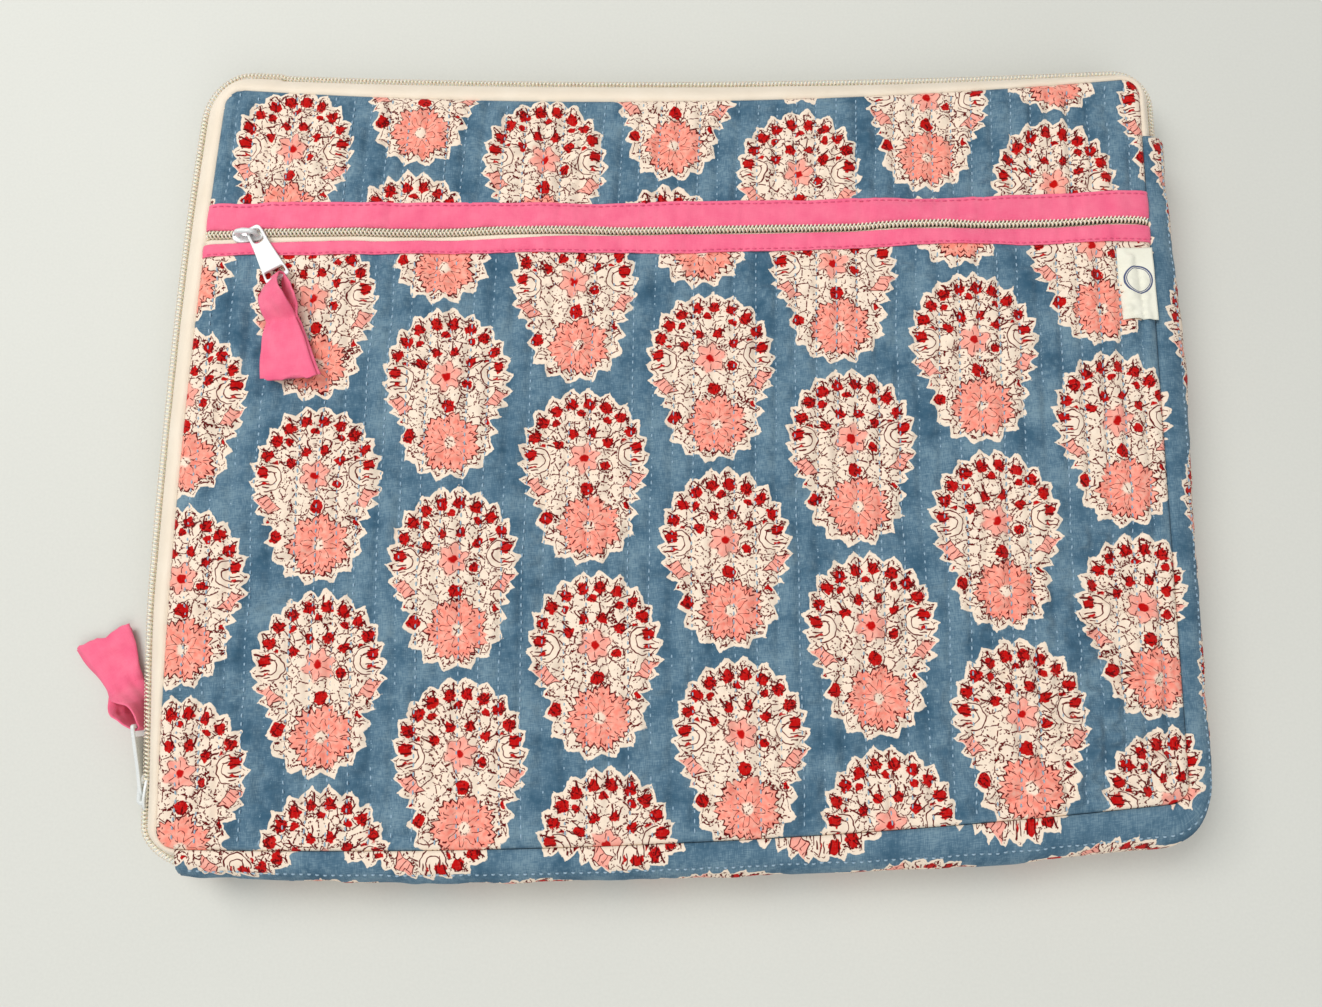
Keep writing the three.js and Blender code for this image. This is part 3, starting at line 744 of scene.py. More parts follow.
def quilted(x, y, seed):
    """The quilting's height: channels between stitched lines, puckered along each line."""
    k = np.round(x / QUILT_PITCH)
    best = np.full(np.shape(x), 1e9)
    for shift in (-1, 0, 1):
        line = (k + shift) * QUILT_PITCH + line_shift(k + shift, y)
        best = np.minimum(best, np.abs(x - line))
    t = np.clip(best / (QUILT_PITCH / 2), 0, 1)
    lift = PUFF * np.sin(t * math.pi / 2) ** 0.62
    pucker = 0.38 * np.exp(-(best / 1.2) ** 2) * np.cos(y * 2 * math.pi / STITCH_PITCH)
    loose = 1 + 1.1 * ease(x, 70, 150) * ease(-y, 10, 90)
    creases = 1.60 * noise(x * 0.42, y, 2.6, 21 + seed) * t + 0.75 * noise(x * 0.5, y, 6.0, 22 + seed)
    return lift - pucker + loose * creases - 0.75 * PUFF


def swell(x, y):
    """The front's slow rise and fall, which the quilting and the bindings share."""
    inside = np.clip(seam_distance(x, y), 0, 6) / 6
    roll = 1.7 * (1 - np.sqrt(1 - (1 - inside) ** 2))
    crown = 0.7 * (1 - (x / HALF_W) ** 4) * (1 - (y / HALF_H) ** 4)
    return crown - roll + 0.45 * ease(inside, 0, 1) * relief(x, y)


def front_height(x, y, seed=0):
    """The outer face of the front at a point."""
    soft = ease(seam_distance(x, y), 0, 6) * ease(np.abs(y - ZIP_Y), 8.5, 15.0)
    return TOP + swell(x, y) + soft * quilted(x, y, seed)


def print_place(x, y, origin, turn):
    """Flat coordinates in the block print's own lattice."""
    c, s = math.cos(math.radians(turn)), math.sin(math.radians(turn))
    dx, dy = x - origin[0], y - origin[1]
    return np.stack([dx * c + dy * s, -dx * s + dy * c], -1)


def half_width(y):
    """Half the panel's width at a height, round its corners."""
    over = np.clip(np.abs(y) - (HALF_H - CORNER), 0, CORNER)
    return HALF_W - CORNER + np.sqrt(CORNER ** 2 - over ** 2)


def panel_grid(low, high, rows, columns, inset=0.0):
    """The x and y of a grid over the panel's outline, between two heights y."""
    Y, S = np.meshgrid(np.linspace(low, high, rows), np.linspace(-1, 1, columns), indexing="ij")
    return S * (half_width(Y) - inset), Y


def slab(name, low, high, upper, under, step, place, body, turned=False):
    """A closed quilted panel between two heights y.

    upper(x, y) is its outer face and under its flat one. place(x, y) lays the print on it.
    """
    X, Y = panel_grid(low, high, int((high - low) / step[1]) + 1, int(2 * HALF_W / step[0]) + 1)
    top = np.stack([X, Y, upper(X, Y)], -1)
    n, m = X.shape
    i, j = np.meshgrid(np.arange(n - 1), np.arange(m - 1), indexing="ij")
    a = (i * m + j).ravel()
    faces = np.stack([a, a + 1, a + m + 1, a + m], 1).tolist()
    rim = list(range(m)) + [i * m + m - 1 for i in range(1, n)]
    rim += [(n - 1) * m + j for j in range(m - 2, -1, -1)] + [i * m for i in range(n - 2, 0, -1)]
    points = top.reshape(-1, 3)
    wall = points[rim].copy()
    wall[:, 2] = under
    base = len(points)
    count = len(rim)
    for k in range(count):
        faces.append([rim[(k + 1) % count], rim[k], base + k, base + (k + 1) % count])
    faces.append([base + k for k in range(count)][::-1])
    points = np.concatenate([points, wall])
    laid = settle(points)
    flat = place(laid[:, 0], laid[:, 1])
    if turned:
        faces = [face[::-1] for face in faces]
    return make(name, points, faces, PRINT, body, flat)


def quilting(name, low, high, height, body, turned=False):
    """Running stitches along every quilting line between two heights."""
    starts, ends = [], []
    reach = int(HALF_W / QUILT_PITCH)
    sign = -1 if turned else 1
    for k in range(-reach, reach + 1):
        offset = (k * 0.61803) % 1.0 * STITCH_PITCH     # so that no two lines' stitches fall in step
        for y in np.arange(low + 1.2 + offset, high - 2.2, STITCH_PITCH):
            pair = [(k * QUILT_PITCH + line_shift(k, q), q) for q in (y, y + STITCH_LENGTH)]
            if min(seam_distance(*q) for q in pair) >= 1.5:
                starts.append(pair[0])
                ends.append(pair[1])
    starts, ends = np.array(starts), np.array(ends)

    def raised(p):
        return np.stack([p[:, 0], p[:, 1], height(p[:, 0], p[:, 1]) + sign * STITCH_LIFT], -1)

    ups = np.tile([0, 0, sign], (len(starts), 1))
    return stitches(name, raised(starts), raised(ends), ups, QUILT_THREAD, body)


def front_print(x, y):
    return print_place(x, y, (16.4, -45.9), 3.2)


def upper_print(x, y):
    return print_place(x, y, (-149.0, 110.0), -3.6)


def upper_height(x, y):
    return front_height(x, y, 3)


def build_front():
    pocket_edge = POCKET_HIGH[1]
    upper_edge = box_mm("front_upper_panel_base")[0][1]
    pocket = slab("pocket_front_quilt", -HALF_H, pocket_edge, front_height, FRONT,
                  (1.08, 1.08), front_print, "sleeve")
    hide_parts("pocket_front_panel")
    quilting("pocket_front_stitching", -HALF_H, pocket_edge - 4, front_height, "sleeve")

    upper = slab("front_upper_quilt", upper_edge, HALF_H, upper_height, FRONT, (1.0, 1.0), upper_print, None)
    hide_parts("front_upper_panel", "front_upper_panel_base")
    quilting("front_upper_stitching", upper_edge + 4, HALF_H, upper_height, None)


def back_height(x, y, least=0.02):
    """The outer face of the back, which rests on the table along its puffs."""
    inside = np.clip(seam_distance(x, y), 0, 6) / 6
    roll = 1.5 * (1 - np.sqrt(1 - (1 - inside) ** 2))
    return np.maximum(0.34 + roll - 0.30 * ease(inside, 0, 1) * (quilted(x, y, 7) + 0.2), least)


def back_print(x, y):
    return print_place(-x, y, (12.0, 8.0), 3.2)


def build_back():
    back = slab("back_quilt", -HALF_H, HALF_H, back_height, BACK_HIGH[2], (1.27, 2.4), back_print, "sleeve",
                turned=True)
    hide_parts("back_panel")
    quilting("back_stitching", -HALF_H, HALF_H, lambda x, y: back_height(x, y, 0.12), "sleeve", turned=True)


# ------------------------------------------------------------------ the gusset
def gusset_flare(stations):
    """How far the gusset stands out at each station, easing from the side's to the bottom's."""
    place, way, gone = stations
    down = np.abs(way[:, 1])
    side = GUSSET_FLARE - 1.5 + 1.2 * np.sin(np.clip(place[:, 1] / HALF_H, -1, 1) * 2.2)
    side = side - 3.4 * ease(place[:, 1], 10, 110)
    bottom = GUSSET_DROP + 2.4 + 3.4 * place[:, 0] / HALF_W
    return side * (1 - down) + bottom * down - 5.0 * down * (1 - down) + 0.5 * waver(gone, 46, 31)


def gusset_section(stations, angle, inset=0.0):
    """How far out and how high the gusset's face is at each angle, from the front seam to the back one."""
    flare = gusset_flare(stations)[:, None]
    gone = stations[2][:, None]
    half = MID - 1.1
    seam_fold = 0.9 * np.exp(-((angle - 0.20) / 0.13) ** 2)
    seam_fold = seam_fold + 0.7 * np.exp(-((angle - math.pi + 0.2) / 0.13) ** 2)
    rib = 0.45 * np.sin(angle * 13) ** 2 - 0.25
    crease = 0.35 * noise(gone, angle * 9, 5.0, 33) + 0.4 * noise(gone, angle * 9, 11.0, 34)
    end = np.sin(angle) ** 0.5
    out = 0.2 + (flare - inset) * np.sin(angle) ** 0.82 + (rib + crease) * end - seam_fold * 0.5
    height = MID + (half - inset) * np.cos(angle)
    return out, height


def build_gusset():
    stations = travel(GUSSET_TRACK, 1.5)
    count = 33
    angle = np.linspace(0.0, math.pi, count)[None]
    outer = gusset_section(stations, angle)
    inner = gusset_section(stations, angle[:, ::-1], 1.7)
    out = np.concatenate([outer[0], inner[0]], 1)
    high = np.concatenate([outer[1], inner[1]], 1)
    rings = swept(stations, out, high)
    points, faces = loft(rings)
    gone, girth = laid_flat(stations[2], np.r_[np.linspace(0, 40, count), np.linspace(40, 0, count)]).T
    flat = print_place(girth, -gone, (27.0, -81.5), 1.15)
    gusset = make("gusset_quilt", points, faces, PRINT, "sleeve", flat)
    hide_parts("gusset")

    # A row of topstitching on each side, just off the seams.
    dense = travel(GUSSET_TRACK, 1.4)
    starts, ends, ups = [], [], []
    for a in (0.62, math.pi - 0.62):
        out, high = gusset_section(dense, np.full((1, 1), a))
        face = swept(dense, out + 0.08, high)[:, 0]
        pairs = np.arange(2, len(face) - 3, 2)
        starts.append(face[pairs])
        ends.append(face[pairs + 1])
        tilt = np.concatenate([dense[1] * math.sin(a), np.full((len(face), 1), math.cos(a))], 1)
        ups.append(tilt[pairs])
    stitches("gusset_topstitch", np.concatenate(starts), np.concatenate(ends), np.concatenate(ups),
             QUILT_THREAD, "sleeve")

    lining_out, lining_high = gusset_section(stations, angle, 2.2)
    points, faces = loft(swept(stations, lining_out, lining_high), closed=False)
    flat = laid_flat(stations[2], np.linspace(0, 36, count))
    lining = make("gusset_lining_cloth", points, faces, LINING, "sleeve", flat)
    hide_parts("gusset_lining")
    run = stations[2][-1] * MM


# ------------------------------------------------------------------ the zips
def tape_section(side, stations):
    """The main tape from its seam out to the coil, as a thin closed loop. side is 1 in front."""
    gone = stations[2]
    inner = zip_reach(stations[0]) - COIL / 2 - 0.2
    wave = 0.40 * waver(gone, 22, 41) + 0.18 * waver(gone, 7, 42)
    shape = [  # share of the way out to the coil, drop below the front
        (-0.10, 2.9), (0.00, 2.2), (0.10, 1.5), (0.22, 1.6), (0.40, 2.9), (0.58, 4.6), (0.72, 6.2),
        (0.86, 8.2), (0.96, 10.2), (1.00, MID - 2.2), (1.005, MID - SPLIT),
    ]
    out = np.stack([inner * a for a, _ in shape], 1)
    high = np.stack([MID - drop + wave * math.sin(math.pi * min(max(a, 0), 1)) for a, drop in shape], 1)
    rise, run = np.gradient(high, axis=1), np.gradient(out, axis=1)
    size = np.hypot(rise, run)
    thick = 0.55
    low_out, low_high = out + thick * rise / size, high - thick * run / size
    loop_out = np.concatenate([out, low_out[:, ::-1]], 1)
    loop_high = np.concatenate([high, low_high[:, ::-1]], 1)
    return loop_out, MID + side * loop_high


def zip_tape_piece(name, side, body, *node_names):
    stations = travel(ZIP_TRACK, 2.0)
    out, high = tape_section(side, stations)
    points, faces = loft(swept(stations, out, high))
    if side < 0:
        faces = [face[::-1] for face in faces]
    half = out.shape[1] // 2
    flat = laid_flat(stations[2], np.r_[np.linspace(0, 19, half), np.linspace(19, 0, half)])
    tape = make(name, points, faces, TAPE, body, flat)
    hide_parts(*node_names)
    run = stations[2][-1] * MM
    run * 1.04


def coil(stations, out, high, half_out, half_high, phase, bead=0.36):
    """A nylon filament wound along stations, as points and faces.

    out and high place the middle of its windings, half_out and half_high are their half sizes,
    phase turns them and bead is the filament's radius.
    """
    pitch, turns, sides = 1.5, 12, 5
    place, way, _ = stations
    path = place + way / np.linalg.norm(way, axis=1, keepdims=True) * np.reshape(out, (-1, 1))
    gone = np.r_[0, np.cumsum(np.linalg.norm(np.diff(path, axis=0), axis=1))]
    total = gone[-1]
    count = int(total / pitch) * turns
    s = np.linspace(0, total, count)
    px, py = np.interp(s, gone, place[:, 0]), np.interp(s, gone, place[:, 1])
    wx, wy = np.interp(s, gone, way[:, 0]), np.interp(s, gone, way[:, 1])
    size = np.hypot(wx, wy)
    wx, wy = wx / size, wy / size
    a = 2 * math.pi * s / pitch + phase
    c, d = np.cos(a), np.sin(a)
    along = np.stack([-wy, wx, 0 * s], 1) * -1
    outward = np.stack([wx, wy, 0 * s], 1)
    up = np.array([0, 0, 1.0])
    out = np.interp(s, gone, out)
    high = np.interp(s, gone, np.broadcast_to(high, gone.shape))
    centre = np.stack([px, py, 0 * s], 1) + outward * (out + half_out * d)[:, None]
    centre = centre + up * (high + half_high * c)[:, None]
    normal = outward * (d * half_high)[:, None] + up * (c * half_out)[:, None]
    normal /= np.linalg.norm(normal, axis=1, keepdims=True)
    angle = np.linspace(0, 2 * math.pi, sides, endpoint=False)
    rings = centre[:, None] + bead * (normal[:, None] * np.cos(angle)[None, :, None]
                                      + along[:, None] * np.sin(angle)[None, :, None])
    return loft(rings)


def build_main_zip():
    stations, dense = travel(ZIP_TRACK, 1.0), travel(ZIP_TRACK, 1.35)
    reach = zip_reach(dense[0])[:, None]
    ups = np.concatenate([np.c_[dense[1][:-1], np.zeros(len(dense[1]) - 1)]] * 2)
    half_high = (COIL + SPLIT - 0.7) / 2
    middle = 0.36 + half_high - 0.35
    # The front half has no body of its own; its tape and coil run along the front side and the flap.
    for word, side, body, phase, parts in (("front", 1, None, 0.0, ("front_side", "front_flap")),
                                           ("back", -1, "sleeve", math.pi * 1.5, ("back",))):
        zip_tape_piece(f"main_zip_tape_{word}", side, body, *(f"main_tape_{part}" for part in parts))
        points, faces = coil(stations, zip_reach(stations[0]), MID + side * middle,
                             COIL / 2 - 0.38, side * half_high, phase, bead=0.40)
        piece = make(f"main_zip_coil_{word}", points, faces, NYLON, body)
        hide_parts(*(f"main_coil_{part}" for part in parts))
        # Two rows of thread hold the coil to its tape.
        rows = []
        for h, over in ((SPLIT + 1.3, COIL / 2 - 0.1), (SPLIT + COIL + 0.5, 0.02 - COIL / 2)):
            rows.append(swept(dense, reach + over, np.full((1, 1), MID + side * h))[:, 0])
        starts = np.concatenate([row[:-1] for row in rows])
        ends = np.concatenate([row[1:] for row in rows])
        ends = starts + (ends - starts) * 0.8
        stitches(f"main_zip_thread_{word}", starts, ends, ups, CREAM_THREAD, body, width=0.34)


def along_x(count):
    return np.linspace(-HALF_W, HALF_W, count)


def binding(name, side, edge):
    """A pink strip folded over a pocket edge. side is 1 above the zip."""
    x = along_x(400)
    lip = BINDING_SLOT - 1.2 + (1.1 - side * 0.6) * ease(-x, -20, 150) + 0.6 * (1 - side)
    lip = lip + 0.25 * waver(x, 30, 50 + side) + 0.12 * waver(x, 9, 52 + side)
    far = edge + 0.65 * waver(x, 34, 54 + side) + 0.15 * waver(x, 8, 56 + side)
    top = TOP + 0.85
    ripple = 0.30 * waver(x, 4.2, 58 + side) + 0.16 * waver(x, 1.8, 60 + side)
    shape = [  # share of the way from the lip to the far edge, height under the top
        (0.00, -1.35), (-0.02, -0.80), (0.03, -0.30), (0.14, -0.02), (0.32, 0.16), (0.52, 0.18),
        (0.70, 0.08), (0.82, -0.16), (0.87, -0.34), (0.93, -0.12), (0.985, -0.22), (1.00, -0.50),
        (0.985, -0.72), (0.80, -0.75), (0.50, -0.75), (0.20, -0.78), (0.10, -1.35),
    ]
    out = np.stack([lip + (far - lip) * a for a, _ in shape], 1)
    high = np.stack([top + h + ripple * (0 < a < 1) for a, h in shape], 1)
    wide = np.repeat(x[:, None], len(shape), 1)
    rings = np.stack([wide, ZIP_Y + side * out, high + swell(wide, ZIP_Y + side * out)], -1)
    points, faces = loft(rings)
    if side > 0:
        faces = [face[::-1] for face in faces]
    across = np.cumsum(np.r_[0, np.hypot(np.diff(out[0]), np.diff(rings[0, :, 2]))])
    piece = make(name, points, faces, PINK, "sleeve", laid_flat(x, across))
    width = max(edge - 0.3, 10.2) * MM
    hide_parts(f"pocket_binding_{'upper' if side > 0 else 'lower'}")

    s = np.arange(-HALF_W + 2, HALF_W - 3, 2.7)
    seam = lip + (far - lip) * 0.87
    ridge = top - 0.26 + ripple + swell(x, ZIP_Y + side * seam)

    def on_seam(q):
        return np.stack([q, ZIP_Y + side * np.interp(q, x, seam), np.interp(q, x, ridge)], -1)

    stitches(name.replace("binding", "binding_topstitch"), on_seam(s), on_seam(s + 1.9),
             np.tile([0.0, 0.0, 1.0], (len(s), 1)), PINK_THREAD, "sleeve", width=0.4)


def build_pocket_zip():
    binding("pocket_binding_above", 1, BINDING_EDGE)
    binding("pocket_binding_below", -1, BINDING_EDGE - 1.9)
    x = along_x(200)
    stations = (np.stack([x, 0 * x + ZIP_Y], 1), np.tile([0.0, 1.0], (len(x), 1)), x + HALF_W)
    lift = swell(x, 0 * x + ZIP_Y)
    tape_z = box_mm("pocket_tape_upper")[1][2]
    tape_edge = box_mm("pocket_tape_upper")[1][1] - ZIP_Y
    for side, word in ((1, "upper"), (-1, "lower")):
        across = np.array([SPLIT, 2.3, 4.2, 7.0, tape_edge])
        out = np.r_[across, across[::-1]][None] * side
        out = out + POCKET_CHAIN * (np.abs(out) < 3)
        high = tape_z + np.array([1.5, 3.6, 3.1, 1.2, 0.0, -0.5, 0.7, 2.6, 3.1, 1.0])[None] + lift[:, None]
        points, faces = loft(swept(stations, out, high))
        flat = laid_flat(x, np.r_[across, across[::-1]])
        tape = make(f"pocket_zip_tape_{word}", points, faces, TAPE, "sleeve", flat)
        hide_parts(f"pocket_tape_{word}")
        half = 0.62
        reach = 0 * x + POCKET_CHAIN + side * half
        points, faces = coil(stations, reach, POCKET_COIL_Z + 2.0 + lift, side * half, COIL / 2 - 0.45,
                             0.0 if side > 0 else math.pi)
        piece = make(f"pocket_zip_coil_{word}", points, faces, NYLON, "sleeve")
        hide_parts(f"pocket_coil_{word}")


# ------------------------------------------------------------------ sliders, tabs and tails
def filled(splines, thick, bevel):
    """A plate from closed outlines, later ones being holes, as points and faces in millimetres."""
    curve = bpy.data.curves.new("plate", "CURVE")
    curve.dimensions = "2D"
    curve.fill_mode = "BOTH"
    curve.extrude = max(thick / 2 - bevel, 0.01)
    curve.bevel_depth = bevel
    curve.bevel_resolution = 2
    curve.offset = -bevel
    for outline in splines:
        spline = curve.splines.new("POLY")
        spline.points.add(len(outline) - 1)
        spline.points.foreach_set("co", np.c_[outline, np.zeros(len(outline)), np.ones(len(outline))].ravel())
        spline.use_cyclic_u = True
    holder = bpy.data.objects.new("plate", curve)
    bpy.context.collection.objects.link(holder)
    solid = holder.evaluated_get(bpy.context.evaluated_depsgraph_get()).to_mesh()
    points = np.array([p.co[:] for p in solid.vertices])
    faces = [list(f.vertices) for f in solid.polygons]
    bpy.data.objects.remove(holder)
    bpy.data.curves.remove(curve)
    return points, faces


def rounded(half, radius):
    """A closed outline with rounded corners, anticlockwise, from the corners of its half on the +Y side.

    radius is one for all corners, or one for each of the half's.
    """
    corners = np.array([(x, -y) for x, y in half] + half[::-1], float)
    radii = np.broadcast_to(radius, len(half))
    result = []
    for k, (p, size) in enumerate(zip(corners, np.r_[radii, radii[::-1]])):
        before, after = corners[k - 1] - p, corners[(k + 1) % len(corners)] - p
        lb, la = np.linalg.norm(before), np.linalg.norm(after)
        r = min(size, lb / 2, la / 2)
        a, b = p + before / lb * r, p + after / la * r
        for t in np.linspace(0, 1, 6):
            result.append((1 - t) ** 2 * a + 2 * t * (1 - t) * p + t * t * b)
    return np.array(result)


def bar(path, radius):
    """A round bar along points, as points and faces."""
    path = np.array(path, float)
    tangent = np.gradient(path, axis=0)
    tangent /= np.linalg.norm(tangent, axis=1, keepdims=True)
    side = np.cross(tangent, [0.0, 1.0, 0.0])
    side /= np.linalg.norm(side, axis=1, keepdims=True)
    up = np.cross(tangent, side)
    angle = np.linspace(0, 2 * math.pi, 14, endpoint=False)
    rings = path[:, None] + radius * (side[:, None] * np.cos(angle)[None, :, None]
                                      + up[:, None] * np.sin(angle)[None, :, None])
    return loft(rings)


SLIDER_LENGTH, SLIDER_WIDE, SLIDER_NARROW = 12.0, 9.2, 7.0
HARD_EDGE = math.radians(40)        # faces that meet at more than this have a hard edge between them


def slider_shape(crown_top, plate_top, plate_half):
    """A slider in its own frame: opening along +X, outer face +Z, the chain's middle at the origin."""
    half = SLIDER_LENGTH / 2
    wide, narrow = SLIDER_WIDE / 2 * plate_half, SLIDER_NARROW / 2 * plate_half
    over = [(-half, wide * 0.62), (-half * 0.45, wide), (half * 0.5, narrow), (half, narrow * 0.66)]
    under = [(-half, 2.9), (-half * 0.45, 4.6), (half * 0.5, 3.5), (half, 2.3)]
    post = [(-half + 0.4, 0.33), (-half + 3.2, 0.33)]
    parts = []
    for outline, corner, thick, bevel, lift in (
            (over, 1.9, 1.1, 0.34, plate_top - 0.55),
            (under, 1.9, 0.9, 0.25, -COIL / 2 - 1.8),
            (post, 0.2, plate_top + 3.4, 0.1, (plate_top - 3.4) / 2)):
        points, faces = filled([rounded(outline, corner)], thick, bevel)
        parts.append((points + [0, 0, lift], faces))
    # The crown: a round bar that rises from the plate, runs along it and dips back.
    reach = 3.75
    t = np.linspace(-1, 1, 33)
    rise = (crown_top - plate_top) * (1 - np.abs(t) ** 7)
    path = np.stack([reach * np.sign(t) * np.abs(t) ** 0.8, 0 * t, plate_top + rise], 1)
    path[0, 2] = path[-1, 2] = plate_top - 0.5
    parts.append(bar(path, 1.0))
    return joined(parts)


def tab_shape(length, wide, eye):
    """A pull tab along +X from the middle of its eye's own end bar, with its eye and its tail slot."""
    neck = 3.25
    outline = [(-0.7, neck * 0.82), (2.2, neck), (7.6, neck * 1.02), (length, wide / 2)]
    hole = rounded([(0.6, eye), (6.6, eye)], 1.9)[::-1]
    slot = rounded([(length - 4.6, wide / 2 - 1.2), (length - 1.6, wide / 2 - 1.1)], 0.8)[::-1]
    return filled([rounded(outline, [2.6, 3, 3, 1.6]), hole, slot], 1.3, 0.3)


def turned(points, angle, at):
    """Points turned about the upright axis and moved."""
    c, s = math.cos(angle), math.sin(angle)
    x, y, z = points.T
    return np.stack([x * c - y * s + at[0], x * s + y * c + at[1], z + at[2]], -1)


TAIL_LENGTH, TAIL_END, TAIL_CREASE = 40.0, 21.0, 17.5
TAIL_RUN, TAIL_ACROSS = 60, 17      # how many points run along each layer, and across it


def tail_rings(twist, drop, bend, gape, arch, skew, seed):
    """A cotton strip doubled round a bar at the origin: over the top, round the bar and back underneath.

    The loop gapes between the bar and a stitched crease, and both layers lie together past it.
    """
    length, crease = TAIL_LENGTH, TAIL_CREASE
    run = np.linspace(length, 0, TAIL_RUN)
    reach = np.r_[run, [-0.9, -1.35, -1.5, -1.35, -0.9], run[::-1]]
    lid = np.interp(run, [0, 3, 8, 13, crease - 1, crease, crease + 2, length],
                    [1.4, 1.6 + gape * 0.45, 1.6 + gape, 1.3 + gape * 0.6, 0.6, 0.36, 0.55, 0.7])
    level = np.r_[lid, [1.2, 0.65, 0, -0.65, -1.2], -lid[::-1]]
    layer = np.r_[np.ones(TAIL_RUN), [0.8, 0.4, 0, -0.4, -0.8], -np.ones(TAIL_RUN)]
    half = np.interp(reach, [-1.5, 0, 4, 9, 14, crease, 25, length],
                     [2.7, 3.2, 5.4, 6.7, 6.7, 6.2, 8.0, TAIL_END / 2])
    R, A = np.meshgrid(reach, np.linspace(-1, 1, TAIL_ACROSS), indexing="ij")
    L = layer[:, None] + 0 * R
    free = ease(R, 2, 10)
    Y = A * half[:, None] + bend * np.clip(R / length, 0, 1) ** 2
    Y = Y + (0.35 * noise(R, L * 9, 8, seed) + 0.9 * (L < 0) * ease(R, 4, 12)) * free
    folds = 0.55 * noise(R, A * 9 + L * 50, 7.0, seed + 1) + 0.35 * noise(R, A * 9 + L * 50, 3.2, seed + 3)
    gathers = 0.45 * np.sin(A * 9 + seed) * np.exp(-np.abs(R - crease) / 5.0)
    Z = level[:, None] + (folds * 0.9 + gathers) * free + 0.5 * A ** 2 * ease(R, 20, length)
    Z = Z - 0.45 * A ** 2 * free * (R < crease) * L
    fray = 0.9 * noise(A * 9, L * 3, 3.0, seed + 5) + 0.5 * noise(A * 9, L * 3, 0.8, seed + 6) - 0.8 * (L < 0)
    X = R + fray * ease(R, length - 5, length) + skew * Y * ease(R, crease, length)
    phi = twist * (1 - ease(R, 3, 24))
    y, z = Y * np.cos(phi) - Z * np.sin(phi), Y * np.sin(phi) + Z * np.cos(phi)
    z = z - drop * ease(R, -1, 27) + arch * np.sin(math.pi * np.clip(R / crease, 0, 1))
    sheet = np.stack([X, y, z], -1)
    normal = np.cross(np.gradient(sheet, axis=0), np.gradient(sheet, axis=1))
    normal /= np.linalg.norm(normal, axis=2, keepdims=True) + 1e-9
    rings = np.concatenate([sheet + normal * 0.24, (sheet - normal * 0.24)[:, ::-1]], 1)
    flat = np.stack([np.concatenate([R, R], 1) + 60 * np.concatenate([L < 0, L < 0], 1),
                     np.concatenate([Y, Y[:, ::-1]], 1)], -1)
    return rings, flat.reshape(-1, 2)


def tail_crease(rings, at, angle, name, body):
    """The row of stitches that closes the loop, on the tail's outer face."""
    nearest = np.argmin(np.abs(rings[:TAIL_RUN, TAIL_ACROSS // 2, 0] - TAIL_CREASE))
    row = rings[nearest, :TAIL_ACROSS] + [0, 0, 0.12]
    share = np.linspace(0, 1, TAIL_ACROSS)

    def on_row(q):
        return turned(np.stack([np.interp(q, share, row[:, k]) for k in range(3)], -1), angle, at)

    t = np.arange(0.05, 0.9, 0.13)
    stitches(name, on_row(t), on_row(t + 0.085), np.tile([0.0, 0.0, 1.0], (len(t), 1)), PINK_THREAD, body,
             width=0.4, settled=False)


def build_tail(name, node, at, angle, **shape):
    rings, flat = tail_rings(**shape)
    points, faces = loft(rings)
    piece = make(name, turned(points, angle, at), faces, PINK, name, flat, settled=False)
    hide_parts(node)
    tail_crease(rings, at, angle, f"{name}_stitches", name)


def build_slider(prefix, carrier, shift, plate_top, crown_top, plate_half, tab, tail):
    """A slider, its tab and its tail. carrier takes the slider's own frame to the sleeve's.

    shift moves them with the settled zip. tab and tail describe those two.
    """
    body = f"{prefix}_slider"

    def carried(points):
        return np.array([carrier @ Vector(p) for p in points]) + shift

    points, faces = slider_shape(crown_top, plate_top, plate_half)
    piece = make(f"{prefix}_slider", carried(points), faces, ENAMEL, body, settled=False)
    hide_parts(f"{prefix}_slider_body", f"{prefix}_slider_crown")
    piece.data.set_sharp_from_angle(angle=HARD_EDGE)
    points, faces = filled([rounded([(-2.0, 0.7), (2.0, 0.7)], 0.5)], 0.25, 0.05)
    leaf = make(f"{prefix}_locking_leaf", carried(points + [0, 0, plate_top + 0.12]), faces, STEEL, body,
                smooth=False, settled=False)
    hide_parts(f"{prefix}_lock_spring")

    points, faces = tab_shape(tab["length"], 10.0, 2.15)
    if tab["standing"]:
        points = np.stack([points[:, 0], -points[:, 2], points[:, 1]], -1)
    points = points - [tab["set_back"], 0, 0]
    points = turned(points, tab["angle"], tab["at"] + shift)
    piece = make(f"{prefix}_tab", points, faces, ENAMEL, f"{prefix}_tab", settled=False)
    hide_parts(f"{prefix}_pull_tab")
    piece.data.set_sharp_from_angle(angle=HARD_EDGE)
    tail["at"] = tail["at"] + shift
    build_tail(f"{prefix}_tail", f"{prefix}_pull_tail", **tail)


def joint_place(name):
    """A joint's place in millimetres."""
    return np.array(JOINTS[name]["pos_m"]) / MM


